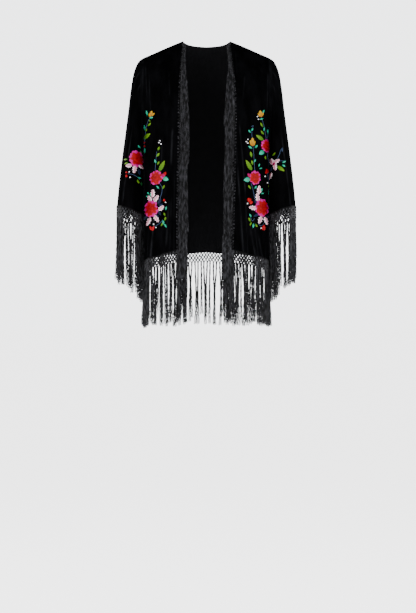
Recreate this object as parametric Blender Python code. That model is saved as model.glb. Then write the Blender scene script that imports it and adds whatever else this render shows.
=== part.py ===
"""Open velvet jacket with a knotted silk fringe, hollow and shaped as worn on a general figure.

Metres, +Z up, the front faces -Y. The origin lies between the neck points, at the height where
the shoulders carry the jacket. Left and right are the wearer's, so left is +X. A drop is a
distance below the origin.
"""

import math
from collections import namedtuple

import bpy
import numpy as np

# Cloth and seams
WALL = 0.002
SEAM_GAP = 0.0006
FRONT_COLUMNS = 12
BACK_HALF_COLUMNS = 12
YOKE_ROWS = 6
ARMPIT_ROWS = 5
SIDE_ROWS = 9
BODY_FULLNESS = 1.35
YOKE_TURN = math.radians(52)
ARMPIT_EASE = 0.36
SEWN_EDGE_REACH = 6
YOKE_EDGE_DROP = 0.121
YOKE_BACK_DROP = 0.142
# How far towards the side a row holds its level before it drops to the seam
ROW_LEVEL_REACH = 0.9
# Level from which a front's rows take the line of its hem, which drops beside the free edge
HEM_EASE = 0.75
# Height that the body's normals point away from
CHEST_CENTRE_Z = -0.20
# Share of a panel's width, and rows below its top, in which the folds fade
FRONT_QUIET_SHARE = 1 / 8
BACK_QUIET_SHARE = 1 / 14
QUIET_ROWS = 5
# A fold whose foot is lower than this runs out at the hem or the cuff
HANGING_FOOT = 0.47

# Armhole, an upright ellipse beside the body
ARMHOLE_TOP_DROP = 0.0485
ARMHOLE_FOOT_DROP = 0.251
ARMHOLE_HALF_DEPTH = 0.070
ARMHOLE_MIDDLE_Y = 0.002
ARMHOLE_TOP_X = 0.1770
ARMHOLE_FOOT_X = 0.1745

# Shoulder seam and neck
SEAM_NECK_END = (0.0655, -0.010, -0.003)
SEAM_ARCH = 0.0015
SEAM_SIDEWAYS = (0.0, 0.87, 0.5)
NECK_SHARE = 5 / 12

# How strongly and which way each panel leaves its upper edge
FRONT_NECK_PULL = np.array((0.010, -0.105, -0.075))
FRONT_ARMHOLE_PULL = np.array((0.0, -0.110, 0.0))
BACK_CENTRE_PULL = np.array((0.0, 0.049, -0.131))
BACK_NECK_PULL = np.array((0.0, 0.125, 0.055))
BACK_ARMHOLE_PULL = np.array((0.0, 0.110, 0.0))

# Hem
SIDE_HEM_DROP = 0.606
EDGE_HEM_DROP = 0.579
BACK_HEM_DROP = 0.575

# Sleeves
RING_POINTS = 18
SLEEVE_RINGS = 12
RING_SPACING = 1.25
CUFF_BACK_DROP = 0.008
SLEEVE_QUIET_SHARE = 1 / 6

# Fringe
HEADER_HEIGHT = 0.027
HEADER_WALL = 0.0022
HEM_STRANDS_FRONT = 19
HEM_STRANDS_BACK = 52
CUFF_STRANDS = 40
BAND_STRANDS = 7
BAND_RIDGE = 0.0012
STRAND_LENGTH = 0.160
HEM_STRAND_LIMITS = (0.150, 0.172)
FRINGE_END_DROP = 0.779
STRAND_SHARE = 0.52
STRAND_TAPER = 0.55
STRAND_SWAY = 0.0035
STRAND_VARIATION = 0.004
HEM_END_SHARE = 0.012
CUFF_STRAND_LENGTH = 0.172
CUFF_INNER_EXTRA = 0.030
CUFF_INNER_LEAN = 0.009

EdgeLine = namedtuple("EdgeLine", "drop right_x left_x forward band")
BackLine = namedtuple("BackLine", "drop behind")
SideLine = namedtuple("SideLine", "drop x")
NeckLine = namedtuple("NeckLine", "along x y z")
Ring = namedtuple("Ring", "along outer_x outer_drop inner_x inner_drop half_depth middle_y")
Fold = namedtuple("Fold", "top_x top_drop foot_x foot_drop width rise")

# Free front edges from the chest to the hem: how far out they lie on each side, how far forward
# they hang, and how wide the fringe band beside them is
FRONT_EDGE = [
    EdgeLine(0.020, 0.0690, 0.0700, 0.024, 0.0095),
    EdgeLine(0.080, 0.0710, 0.0740, 0.080, 0.0140),
    EdgeLine(0.150, 0.0745, 0.0795, 0.114, 0.0235),
    EdgeLine(0.200, 0.0757, 0.0808, 0.125, 0.0275),
    EdgeLine(0.280, 0.0768, 0.0803, 0.129, 0.0290),
    EdgeLine(0.380, 0.0790, 0.0785, 0.131, 0.0290),
    EdgeLine(0.480, 0.0806, 0.0762, 0.133, 0.0285),
    EdgeLine(0.579, 0.0797, 0.0728, 0.136, 0.0275),
]

CENTRE_BACK = [
    BackLine(0.142, 0.1000),
    BackLine(0.200, 0.1020),
    BackLine(0.260, 0.1030),
    BackLine(0.340, 0.1055),
    BackLine(0.430, 0.1110),
    BackLine(0.520, 0.1180),
    BackLine(0.575, 0.1235),
]

SIDE_SEAM = [
    SideLine(0.251, 0.1742),
    SideLine(0.280, 0.1730),
    SideLine(0.340, 0.1722),
    SideLine(0.430, 0.1722),
    SideLine(0.520, 0.1725),
    SideLine(0.602, 0.1732),
]

# Neck edge of the back, from centre back to the neck end of the shoulder seam
NECK_EDGE = [
    NeckLine(0.00, 0.000, 0.062, -0.0080),
    NeckLine(0.35, 0.032, 0.055, -0.0065),
    NeckLine(0.70, 0.054, 0.032, -0.0040),
    NeckLine(0.90, 0.0625, 0.008, -0.0025),
    NeckLine(1.00, 0.0655, -0.010, -0.0030),
]

# Left sleeve from armhole to cuff, each ring from its outermost to its innermost point
SLEEVE = [
    Ring(0.00, 0.1776, 0.0485, 0.1752, 0.2510, 0.0700, 0.002),
    Ring(0.08, 0.1885, 0.0605, 0.1750, 0.2565, 0.0722, 0.001),
    Ring(0.17, 0.1985, 0.0850, 0.1745, 0.2680, 0.0742, 0.000),
    Ring(0.29, 0.2065, 0.1275, 0.1741, 0.2900, 0.0762, -0.001),
    Ring(0.43, 0.2135, 0.1860, 0.1738, 0.3200, 0.0780, -0.003),
    Ring(0.57, 0.2215, 0.2480, 0.1737, 0.3560, 0.0792, -0.005),
    Ring(0.71, 0.2300, 0.3140, 0.1737, 0.3950, 0.0802, -0.007),
    Ring(0.85, 0.2375, 0.3830, 0.1738, 0.4370, 0.0810, -0.009),
    Ring(1.00, 0.2440, 0.4580, 0.1743, 0.4820, 0.0815, -0.010),
]

# Hanging folds of each panel, by the distance out from the middle at the fold's top and foot
RIGHT_FRONT_FOLDS = [
    Fold(0.090, 0.240, 0.096, 0.380, 0.010, 0.0045),
    Fold(0.099, 0.420, 0.109, 0.600, 0.011, 0.0070),
    Fold(0.124, 0.470, 0.128, 0.600, 0.009, -0.0050),
    Fold(0.134, 0.400, 0.150, 0.600, 0.011, 0.0065),
    Fold(0.152, 0.070, 0.122, 0.160, 0.011, -0.0040),
    Fold(0.108, 0.170, 0.090, 0.270, 0.011, -0.0040),
    Fold(0.164, 0.480, 0.166, 0.600, 0.008, -0.0045),
]
LEFT_FRONT_FOLDS = [
    Fold(0.087, 0.220, 0.106, 0.440, 0.008, 0.0045),
    Fold(0.076, 0.240, 0.100, 0.600, 0.008, 0.0050),
    Fold(0.112, 0.380, 0.116, 0.600, 0.008, -0.0055),
    Fold(0.114, 0.500, 0.133, 0.600, 0.009, 0.0075),
    Fold(0.136, 0.520, 0.152, 0.600, 0.008, 0.0060),
    Fold(0.155, 0.075, 0.132, 0.170, 0.011, -0.0040),
    Fold(0.120, 0.180, 0.126, 0.330, 0.013, -0.0035),
]
BACK_FOLDS = [
    Fold(-0.012, 0.330, -0.020, 0.604, 0.016, -0.0060),
    Fold(0.030, 0.300, 0.034, 0.604, 0.015, 0.0065),
    Fold(-0.058, 0.250, -0.066, 0.604, 0.015, 0.0075),
    Fold(0.072, 0.340, 0.080, 0.604, 0.013, -0.0055),
    Fold(-0.098, 0.320, -0.112, 0.604, 0.014, -0.0065),
    Fold(0.112, 0.240, 0.124, 0.604, 0.014, 0.0070),
    Fold(-0.134, 0.360, -0.146, 0.604, 0.012, 0.0060),
    Fold(0.146, 0.380, 0.154, 0.604, 0.011, -0.0045),
]
# Folds of a sleeve, by the angle round it in place of the distance out
SLEEVE_FOLDS = [
    Fold(1.30, 0.200, 1.05, 0.480, 0.22, 0.0040),
    Fold(1.75, 0.080, 1.62, 0.230, 0.18, -0.0035),
    Fold(1.95, 0.280, 2.10, 0.480, 0.24, -0.0035),
    Fold(0.45, 0.150, 0.62, 0.420, 0.26, -0.0030),
    Fold(4.30, 0.120, 4.45, 0.480, 0.24, 0.0040),
    Fold(4.95, 0.200, 5.10, 0.480, 0.22, -0.0035),
    Fold(5.60, 0.260, 5.50, 0.480, 0.24, 0.0030),
]


def column(table, name):
    """One named column of a table."""
    return np.array([getattr(row, name) for row in table])


def smooth(knots, values, at):
    """The cubic through the knots, with its slopes taken from the neighbours."""
    at = np.clip(at, knots[0], knots[-1])
    slopes = np.gradient(values, knots)
    i = np.clip(np.searchsorted(knots, at) - 1, 0, len(knots) - 2)
    step = knots[i + 1] - knots[i]
    u = (at - knots[i]) / step
    start = values[i] * (1 + 2 * u) * (1 - u) ** 2 + slopes[i] * step * u * (1 - u) ** 2
    end = values[i + 1] * u**2 * (3 - 2 * u) - slopes[i + 1] * step * u**2 * (1 - u)
    return start + end


def read(table, name, at):
    """A named column read smoothly at a value of the table's first column."""
    return smooth(column(table, table[0]._fields[0]), column(table, name), at)


def ramp(value):
    """0 below 0, 1 above 1, smooth between."""
    value = min(max(value, 0.0), 1.0)
    return value * value * (3 - 2 * value)


def unit(vector):
    return vector / np.linalg.norm(vector)


def armhole(angle, toward):
    """A point of the armhole: angle 0 at the shoulder, pi at the armpit, toward -1 in front."""
    middle = (ARMHOLE_TOP_DROP + ARMHOLE_FOOT_DROP) / 2
    half = (ARMHOLE_FOOT_DROP - ARMHOLE_TOP_DROP) / 2
    share = (1 - math.cos(angle)) / 2
    return np.array([
        ARMHOLE_TOP_X + (ARMHOLE_FOOT_X - ARMHOLE_TOP_X) * share,
        ARMHOLE_MIDDLE_Y + toward * ARMHOLE_HALF_DEPTH * math.sin(angle),
        -(middle - half * math.cos(angle)),
    ])


def shoulder_seam(share):
    """A point of the shoulder seam, from the neck at 0 to the armhole at 1."""
    start = np.array(SEAM_NECK_END)
    point = start + (armhole(0, 1) - start) * share
    point[2] += SEAM_ARCH * math.sin(math.pi * share)
    return point


def body_levels():
    """The rows below the yoke: each one's drop at the side, armhole angle or None, and level.

    The level is 0 at the yoke and 1 at the hem. It is spaced more evenly than the side drops,
    which crowd at the armpit.
    """
    sides = []
    for k in range(ARMPIT_ROWS):
        angle = math.pi / 2 * (1 + k / ARMPIT_ROWS)
        sides.append((-armhole(angle, 1)[2], angle))
    for k in range(SIDE_ROWS + 1):
        drop = ARMHOLE_FOOT_DROP + (SIDE_HEM_DROP - ARMHOLE_FOOT_DROP) * k / SIDE_ROWS
        sides.append((drop, None))
    yoke = sides[0][0]
    levels = []
    for k, (drop, angle) in enumerate(sides):
        even = k / (ARMPIT_ROWS + SIDE_ROWS)
        by_side = (drop - yoke) / (SIDE_HEM_DROP - yoke)
        levels.append((drop, angle, (even + by_side) / 2))
    return levels


def across_row(start, end, turned, share, near_hem):
    """A point of a row that leaves the start sideways and turns back towards the end."""
    turn = YOKE_TURN + (math.pi / 2 - YOKE_TURN) * turned
    angle = turn * share
    out = math.sin(angle) / math.sin(turn)
    back = ((1 - math.cos(angle)) / (1 - math.cos(turn))) ** (1 + (BODY_FULLNESS - 1) * turned)
    level = share ** (1 + ROW_LEVEL_REACH * out)
    level += (1 - (1 - share) ** 2 - level) * near_hem
    x = start[0] + (end[0] - start[0]) * out
    y = start[1] + (end[1] - start[1]) * back
    return np.array([x, y, start[2] + (end[2] - start[2]) * level])


def edge_point(side, level):
    """The free front edge at a level of the body."""
    drop = YOKE_EDGE_DROP + (EDGE_HEM_DROP - YOKE_EDGE_DROP) * level
    x = read(FRONT_EDGE, "left_x" if side > 0 else "right_x", drop)
    return np.array([x, -read(FRONT_EDGE, "forward", drop), -drop])


def centre_back(level):
    """The middle of the back at a level of the body."""
    drop = YOKE_BACK_DROP + (BACK_HEM_DROP - YOKE_BACK_DROP) * level
    return np.array([0.0, read(CENTRE_BACK, "behind", drop), -drop])


def hermite(start, start_pull, end, end_pull, u):
    """A curve from start to end that leaves and arrives along the two pulls."""
    curve = (1 + 2 * u) * (1 - u) ** 2 * start + u * (1 - u) ** 2 * start_pull
    return curve + u**2 * (3 - 2 * u) * end - u**2 * (1 - u) * end_pull


def body_row(start, drop, angle, level, toward, share):
    """A point of a row below the yoke, which eases round to the side and ends on its sewn edge."""
    seam = np.array([read(SIDE_SEAM, "x", drop), 0.0, -drop])
    eased = ramp(level / ARMPIT_EASE)
    depth = ARMHOLE_MIDDLE_Y + toward * ARMHOLE_HALF_DEPTH
    end = seam + np.array([0.0, depth * (1 - eased), 0.0])
    sewn = seam if angle is None else armhole(angle, toward)
    near_hem = ramp((level - HEM_EASE) / (1 - HEM_EASE)) if toward < 0 else 0.0
    point = across_row(start, end, eased, share, near_hem)
    return point + (sewn - end) * share**SEWN_EDGE_REACH


def front_pull(share):
    """How the front leaves the shoulder seam, from neck to armhole."""
    return FRONT_NECK_PULL + (FRONT_ARMHOLE_PULL - FRONT_NECK_PULL) * share


def back_pull(share):
    """How the back leaves its neck edge or shoulder seam, from centre back to armhole."""
    if share < NECK_SHARE:
        near = (share / NECK_SHARE) ** 3
        return BACK_CENTRE_PULL + (BACK_NECK_PULL - BACK_CENTRE_PULL) * near
    along = (share - NECK_SHARE) / (1 - NECK_SHARE)
    return BACK_NECK_PULL + (BACK_ARMHOLE_PULL - BACK_NECK_PULL) * along


def back_top(share):
    """The upper boundary of the back's half."""
    if share < NECK_SHARE:
        along = share / NECK_SHARE
        return np.array([read(NECK_EDGE, name, along) for name in "xyz"])
    return shoulder_seam((share - NECK_SHARE) / (1 - NECK_SHARE))


def fold_depth(folds, out, drop):
    """How far the folds lift the cloth at a distance out and a drop."""
    total = 0.0
    for fold in folds:
        along = (drop - fold.top_drop) / (fold.foot_drop - fold.top_drop)
        middle = fold.top_x + (fold.foot_x - fold.top_x) * along
        if fold.foot_drop > HANGING_FOOT:
            strength = ramp(along)
        else:
            strength = ramp(2 * along) * ramp(2 - 2 * along)
        total += fold.rise * strength * math.exp(-(((out - middle) / fold.width) ** 2))
    return total


def body_line(side, share, front):
    """One line of a front or of the back's half, from its top to the hem."""
    toward = -1 if front else 1
    rows = []
    for drop, angle, level in body_levels():
        start = edge_point(side, level) if front else centre_back(level)
        rows.append(body_row(start, drop, angle, level, toward, share))
    top = shoulder_seam(share) if front else back_top(share)
    pull = front_pull(share) if front else back_pull(share)
    arrive = (rows[1] - rows[0]) * ARMPIT_ROWS
    line = []
    for k in range(YOKE_ROWS):
        if share == 1:
            line.append(armhole(math.pi / 2 * k / YOKE_ROWS, toward))
        else:
            line.append(hermite(top, pull, rows[0], arrive, k / YOKE_ROWS))
    return np.array(line + rows)


def sheet_normals(grid, outward, ring):
    """Unit normals of a grid that point the way of the outward vectors."""
    if ring:
        across = np.roll(grid, -1, axis=1) - np.roll(grid, 1, axis=1)
    else:
        across = np.gradient(grid, axis=1)
    normals = np.cross(np.gradient(grid, axis=0), across)
    normals /= np.linalg.norm(normals, axis=2, keepdims=True)
    turned = (normals * outward).sum(axis=2, keepdims=True)
    return np.where(turned < 0, -normals, normals)


def body_outward(grid):
    """Vectors that point out of the body, level on its lower part."""
    outward = grid - np.array([0.0, 0.0, CHEST_CENTRE_Z])
    outward[:, :, 2] = np.maximum(outward[:, :, 2], 0.0)
    return outward


def folded(grid, folds, front):
    """The grid with its folds raised level out of the cloth, still flat at the sewn edges."""
    normals = sheet_normals(grid, body_outward(grid), False)
    rows, columns = grid.shape[:2]
    raised = grid.copy()
    for i in range(rows):
        for j in range(columns):
            share = j / (columns - 1)
            if front:
                quiet = ramp((1 - share) / FRONT_QUIET_SHARE)
            else:
                quiet = ramp(min(share, 1 - share) / BACK_QUIET_SHARE)
            quiet *= ramp((i - 1) / QUIET_ROWS)
            depth = fold_depth(folds, grid[i, j, 0], -grid[i, j, 2]) * quiet
            raised[i, j] += unit(normals[i, j] * np.array([1.0, 1.0, 0.0])) * depth
    return raised


def front_grid(side):
    """Outer points of a front, from its free edge to the side seam."""
    lines = [body_line(side, j / FRONT_COLUMNS, True) for j in range(FRONT_COLUMNS + 1)]
    grid = np.stack(lines, axis=1)
    grid[:, -1, 1] -= SEAM_GAP / 2
    grid[: YOKE_ROWS + ARMPIT_ROWS + 1, -1, 0] -= SEAM_GAP / 2
    grid[0, :, 1] -= SEAM_GAP / 2
    grid[0, :, 2] -= SEAM_GAP / 2
    folds = LEFT_FRONT_FOLDS if side > 0 else RIGHT_FRONT_FOLDS
    grid = folded(grid, folds, True)
    grid[:, :, 0] *= side
    return grid


def back_grid():
    """Outer points of the back, from the right side seam to the left one."""
    count = BACK_HALF_COLUMNS
    half = np.stack([body_line(1, j / count, False) for j in range(count + 1)], axis=1)
    half[:, -1, 1] += SEAM_GAP / 2
    half[: YOKE_ROWS + ARMPIT_ROWS + 1, -1, 0] -= SEAM_GAP / 2
    seam = int(round(NECK_SHARE * count))
    half[0, seam:, 1] += SEAM_GAP / 2
    half[0, seam:, 2] += SEAM_GAP / 2
    other = half[:, :0:-1].copy()
    other[:, :, 0] *= -1
    return folded(np.concatenate([other, half], axis=1), BACK_FOLDS, False)


def ring_point(along, angle):
    """A point of the left sleeve: angle 0 on its outer side, a quarter turn in front."""
    outer = np.array([read(SLEEVE, "outer_x", along), 0.0, -read(SLEEVE, "outer_drop", along)])
    inner = np.array([read(SLEEVE, "inner_x", along), 0.0, -read(SLEEVE, "inner_drop", along)])
    point = (outer + inner) / 2 + (outer - inner) / 2 * math.cos(angle)
    half_depth = read(SLEEVE, "half_depth", along)
    point[1] = read(SLEEVE, "middle_y", along) - half_depth * math.sin(angle)
    point[2] += CUFF_BACK_DROP * along**2 * math.sin(angle) / 2
    half_width = (outer[0] - inner[0]) / 2
    away = unit(np.array([math.cos(angle) * half_depth, -math.sin(angle) * half_width, 0.0]))
    depth = fold_depth(SLEEVE_FOLDS, angle, -point[2])
    return point + away * depth * ramp(along / SLEEVE_QUIET_SHARE)


def sleeve_grid(side):
    """Outer points of a sleeve, a row for each ring from armhole to cuff."""
    rows = []
    for i in range(SLEEVE_RINGS + 1):
        along = (i / SLEEVE_RINGS) ** RING_SPACING
        turns = [2 * math.pi * j / RING_POINTS for j in range(RING_POINTS)]
        rows.append([ring_point(along, angle) for angle in turns])
    grid = np.array(rows)
    grid[:, :, 0] *= side
    return grid


def add_object(name, points, faces, material):
    """A closed mesh object with its faces pointing out."""
    points = np.asarray(points)
    volume = 0.0
    for face in faces:
        first = points[face[0]]
        for b, c in zip(face[1:-1], face[2:]):
            volume += np.dot(first, np.cross(points[b], points[c]))
    if volume < 0:
        faces = [tuple(reversed(face)) for face in faces]
    mesh = bpy.data.meshes.new(name)
    mesh.from_pydata([tuple(point) for point in points], [], faces)
    mesh.materials.append(material)
    mesh.shade_smooth()
    mesh.set_sharp_from_angle(angle=math.radians(40))
    mesh.update()
    made = bpy.data.objects.new(name, mesh)
    bpy.context.scene.collection.objects.link(made)
    return made


def wall_faces(rows, columns, ring, split=None):
    """Faces of a wall: its outer points come first, then as many inner ones."""
    half = rows * columns
    faces = []
    last = columns if ring else columns - 1
    for i in range(rows - 1):
        for j in range(last):
            k = (j + 1) % columns
            a, b = i * columns + j, i * columns + k
            c, d = b + columns, a + columns
            faces.append((a, b, c, d))
            faces.append((half + d, half + c, half + b, half + a))
    for j in range(last):
        k = (j + 1) % columns
        faces.append((k, j, half + j, half + k))
        if split is None or not split(j):
            low = (rows - 1) * columns
            faces.append((low + j, low + k, half + low + k, half + low + j))
    if not ring:
        for i in range(rows - 1):
            a, b = i * columns, (i + 1) * columns
            faces.append((a, b, half + b, half + a))
            a, b = a + columns - 1, b + columns - 1
            faces.append((b, a, half + a, half + b))
    return faces


def cloth_wall(name, grid, normals, ring, material):
    """A wall of cloth whose outer face is the grid."""
    rows, columns = grid.shape[:2]
    inner = grid - normals * WALL
    points = np.concatenate([grid.reshape(-1, 3), inner.reshape(-1, 3)])
    return add_object(name, points, wall_faces(rows, columns, ring), material)


def uneven(number):
    """A level direction that changes without a pattern from one strand to the next."""
    return np.array([math.sin(2.1 * number), math.cos(1.7 * number), 0.0])


def uneven_length(length, number):
    """A strand's length, a little longer or shorter from one strand to the next."""
    return length + STRAND_VARIATION * math.sin(2.9 * number)


def fringe(name, outer, inner, ring, lengths, leans, material):
    """A header strip whose every second stretch runs on below as a hanging strand.

    Each strand has a length, and a lean that its foot reaches.
    """
    rows, columns = outer.shape[:2]
    points = list(outer.reshape(-1, 3)) + list(inner.reshape(-1, 3))
    faces = wall_faces(rows, columns, ring, split=lambda j: j % 2 == 0)
    half = rows * columns
    low = (rows - 1) * columns
    for number, j in enumerate(range(0, columns if ring else columns - 1, 2)):
        k = (j + 1) % columns
        root = [low + j, low + k, half + low + k, half + low + j]
        corners = np.array([points[index] for index in root])
        middle = corners.mean(axis=0)
        before = root
        for part in (0.5, 1.0):
            size = 1 - (1 - STRAND_TAPER) * part
            drop = np.array([0.0, 0.0, -lengths[number] * part])
            ring_points = middle + (corners - middle) * size + drop + leans[number] * part**2
            ring_points[:, 2] = middle[2] - lengths[number] * part
            after = list(range(len(points), len(points) + 4))
            points.extend(ring_points)
            for n in range(4):
                m = (n + 1) % 4
                faces.append((before[n], before[m], after[m], after[n]))
            before = after
        faces.append(tuple(before))
    return add_object(name, points, faces, material)


def strand_places(count, start, end):
    """Shares along a strip where its strands begin and end."""
    places = []
    for k in range(count):
        places.append(start + (end - start) * k / count)
        places.append(start + (end - start) * (k + STRAND_SHARE) / count)
    return places


def row_at(grid, share):
    """A point of a grid's last row at a share of its length."""
    line = grid[-1]
    place = share * (len(line) - 1)
    i = min(int(place), len(line) - 2)
    return line[i] + (line[i + 1] - line[i]) * (place - i)


def drop_header(tops, outward, height):
    """Outer and inner points of a header that hangs from a line of points."""
    tops = np.array(tops)
    tops[:, 2] -= SEAM_GAP
    feet = tops - np.array([0.0, 0.0, height])
    outer = np.stack([tops, feet])
    return outer, outer - np.array(outward) * HEADER_WALL


def level_normals(line, ring, centre):
    """Horizontal normals along a line of points, away from a centre."""
    line = np.asarray(line)
    if ring:
        along = np.roll(line, -1, axis=0) - np.roll(line, 1, axis=0)
    else:
        along = np.gradient(line, axis=0)
    normals = np.stack([along[:, 1], -along[:, 0], np.zeros(len(line))], axis=1)
    normals /= np.linalg.norm(normals, axis=1, keepdims=True)
    away = ((line - np.array(centre)) * normals).sum(axis=1, keepdims=True)
    return np.where(away < 0, -normals, normals)


def hem_fringe(right, back, left, material):
    """The fringe along the whole hem, from the right front edge round the back to the left one."""
    line = []
    start = HEM_END_SHARE
    line += [row_at(right, s) for s in strand_places(HEM_STRANDS_FRONT, start, 1.0)]
    line += [row_at(back, s) for s in strand_places(HEM_STRANDS_BACK, 0.0, 1.0)]
    line += [row_at(left, 1 - s) for s in strand_places(HEM_STRANDS_FRONT, 0.0, 1 - start)]
    line.append(row_at(left, start))
    line.append(row_at(left, 0.0))
    outer, inner = drop_header(line, level_normals(line, False, (0, 0, 0)), HEADER_HEIGHT)
    strands = len(line) // 2
    lengths = []
    for n in range(strands):
        reach = FRINGE_END_DROP + line[2 * n][2] - HEADER_HEIGHT
        lengths.append(uneven_length(min(max(reach, HEM_STRAND_LIMITS[0]), HEM_STRAND_LIMITS[1]), n))
    leans = [uneven(n) * STRAND_SWAY for n in range(strands)]
    return fringe("fringe_hem", outer, inner, False, lengths, leans, material)


def cuff_fringe(side, material):
    """The fringe round one cuff."""
    line = []
    for share in strand_places(CUFF_STRANDS, 0.0, 1.0):
        point = ring_point(1.0, 2 * math.pi * share)
        point[0] *= side
        line.append(point)
    centre = np.mean(line, axis=0)
    outer, inner = drop_header(line, level_normals(line, True, centre), HEADER_HEIGHT)
    lengths = []
    leans = []
    for n in range(CUFF_STRANDS):
        inward = (1 - math.cos(2 * math.pi * n / CUFF_STRANDS)) / 2
        lengths.append(uneven_length(CUFF_STRAND_LENGTH + CUFF_INNER_EXTRA * inward, n))
        aside = np.array([side * CUFF_INNER_LEAN * inward**2, 0.0, 0.0])
        leans.append(aside + uneven(n) * STRAND_SWAY * (1 - inward / 2))
    name = "fringe_cuff_left" if side > 0 else "fringe_cuff_right"
    return fringe(name, outer, inner, True, lengths, leans, material)


def band_fringe(side, front, material):
    """The dense fringe along one free front edge, with its strands running on below the hem."""
    root = [point.copy() for point in front[:, 0]]
    foot = root[-1].copy()
    foot[2] -= SEAM_GAP + HEADER_HEIGHT
    root.append(foot)
    places = strand_places(BAND_STRANDS, 0.0, 1.0)
    rows = []
    for point in root:
        drop = -point[2]
        width = read(FRONT_EDGE, "band", drop)
        row = []
        for n, share in enumerate(places):
            x = point[0] - side * (SEAM_GAP + width * share / places[-1])
            lift = BAND_RIDGE * (1 if n % 4 in (0, 1) else -1)
            row.append((x, point[1] - lift, point[2]))
        rows.append(row)
    outer = np.array(rows)
    inner = outer + np.array([0.0, HEADER_WALL, 0.0])
    lengths = [uneven_length(STRAND_LENGTH, n) for n in range(BAND_STRANDS)]
    leans = [uneven(n) * STRAND_SWAY for n in range(BAND_STRANDS)]
    name = "fringe_front_left" if side > 0 else "fringe_front_right"
    return fringe(name, outer, inner, False, lengths, leans, material)


def finish(name, colour, roughness):
    """A Principled material."""
    material = bpy.data.materials.new(name)
    material.use_nodes = True
    shader = material.node_tree.nodes["Principled BSDF"]
    shader.inputs["Base Color"].default_value = (*colour, 1.0)
    shader.inputs["Roughness"].default_value = roughness
    shader.inputs["Metallic"].default_value = 0.0
    material.diffuse_color = (*colour, 1.0)
    return material


def body_normals(grid, front):
    """Wall normals of a body panel, kept square to the seams that it is sewn at."""
    normals = sheet_normals(grid, body_outward(grid), False)
    seam_rows = YOKE_ROWS + ARMPIT_ROWS
    ends = [-1] if front else [0, -1]
    for end in ends:
        normals[seam_rows:, end] = (np.sign(grid[-1, end, 0]), 0.0, 0.0)
    if front:
        normals[:, 0, 0] = 0.0
        normals[:, 0] /= np.linalg.norm(normals[:, 0], axis=1, keepdims=True)
    return normals


def seam_normals(line):
    """Normals along the shoulder seam, shared by the front and the back."""
    along = np.gradient(line, axis=0)
    square = np.cross(along, np.array(SEAM_SIDEWAYS))
    square /= np.linalg.norm(square, axis=1, keepdims=True)
    return np.where(square[:, 2:3] < 0, -square, square)


def build():
    """The whole jacket."""
    for old in list(bpy.data.objects):
        bpy.data.objects.remove(old)
    velvet = finish("velvet", (0.006, 0.006, 0.008), 0.85)
    silk = finish("fringe_silk", (0.010, 0.010, 0.012), 0.55)

    back = back_grid()
    normals = body_normals(back, False)
    seam = int(round(NECK_SHARE * BACK_HALF_COLUMNS))
    middle = BACK_HALF_COLUMNS
    normals[0, middle + seam :] = seam_normals(back[0, middle + seam :])
    normals[0, : middle - seam + 1] = seam_normals(back[0, : middle - seam + 1])
    cloth_wall("back", back, normals, False, velvet)

    fronts = {}
    for side, name in ((-1, "front_right"), (1, "front_left")):
        grid = front_grid(side)
        fronts[side] = grid
        normals = body_normals(grid, True)
        normals[0] = seam_normals(grid[0])
        cloth_wall(name, grid, normals, False, velvet)
        band_fringe(side, grid, silk)

    for side, name in ((-1, "sleeve_right"), (1, "sleeve_left")):
        grid = sleeve_grid(side)
        centres = grid.mean(axis=1, keepdims=True)
        normals = sheet_normals(grid, grid - centres, True)
        normals[0, :, 0] = 0.0
        normals[0] /= np.linalg.norm(normals[0], axis=1, keepdims=True)
        cloth_wall(name, grid, normals, True, velvet)
        cuff_fringe(side, silk)

    hem_fringe(fronts[-1], back, fronts[1], silk)


build()
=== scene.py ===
import math
from collections import namedtuple

import bpy
import numpy as np
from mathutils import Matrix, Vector
from mathutils.bvhtree import BVHTree


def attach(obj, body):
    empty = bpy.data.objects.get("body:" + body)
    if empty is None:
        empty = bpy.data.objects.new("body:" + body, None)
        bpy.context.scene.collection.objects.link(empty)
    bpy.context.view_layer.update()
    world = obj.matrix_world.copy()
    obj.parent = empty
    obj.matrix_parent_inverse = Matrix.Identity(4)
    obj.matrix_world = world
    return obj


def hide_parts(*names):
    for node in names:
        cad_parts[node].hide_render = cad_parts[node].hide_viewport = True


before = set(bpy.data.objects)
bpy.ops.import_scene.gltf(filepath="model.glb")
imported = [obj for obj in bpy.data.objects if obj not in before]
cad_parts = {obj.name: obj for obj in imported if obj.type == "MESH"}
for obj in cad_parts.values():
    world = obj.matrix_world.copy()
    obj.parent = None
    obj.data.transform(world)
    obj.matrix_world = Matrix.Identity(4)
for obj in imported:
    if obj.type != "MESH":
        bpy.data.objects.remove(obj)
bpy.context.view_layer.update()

# Velvet cloth
# Silk-pile velvet on a soft ground: near-black in the light, with a silvery bloom where the pile
# turns away from the eye, and a painted sheen, a lighter base colour, along the fold ridges and
# beside the seams. The same cloth is cut for the back, both fronts and both sleeves.
VELVET_BLACK = (0.0007, 0.0007, 0.0008, 1.0)
VELVET_BRUSHED = (0.0020, 0.0020, 0.0024, 1.0)
# Painted sheen: the lighter base colour laid along fold ridges and beside seams
VELVET_PAINTED_SHEEN = (0.0085, 0.0088, 0.0100, 1.0)
VELVET_BLOOM = (0.70, 0.74, 0.84, 1.0)
GROUND_DARK = (0.0022, 0.0022, 0.0026, 1.0)
GROUND_LIGHT = (0.0045, 0.0045, 0.0052, 1.0)


def wire(tree, kind, into=None, **settings):
    """A new node with its settings and its inputs, each a value or another node's output."""
    node = tree.nodes.new(kind)
    for name, value in settings.items():
        setattr(node, name, value)
    for key, value in (into or {}).items():
        socket = node.inputs[key]
        if isinstance(value, bpy.types.NodeSocket):
            tree.links.new(value, socket)
        else:
            socket.default_value = value
    return node


def principled(name, **sockets):
    """A new material, with its node tree and its Principled shader."""
    material = bpy.data.materials.new(name)
    material.use_nodes = True
    tree = material.node_tree
    shader = tree.nodes["Principled BSDF"]
    for label, value in sockets.items():
        shader.inputs[label.replace("_", " ")].default_value = value
    return material, tree, shader


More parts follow.
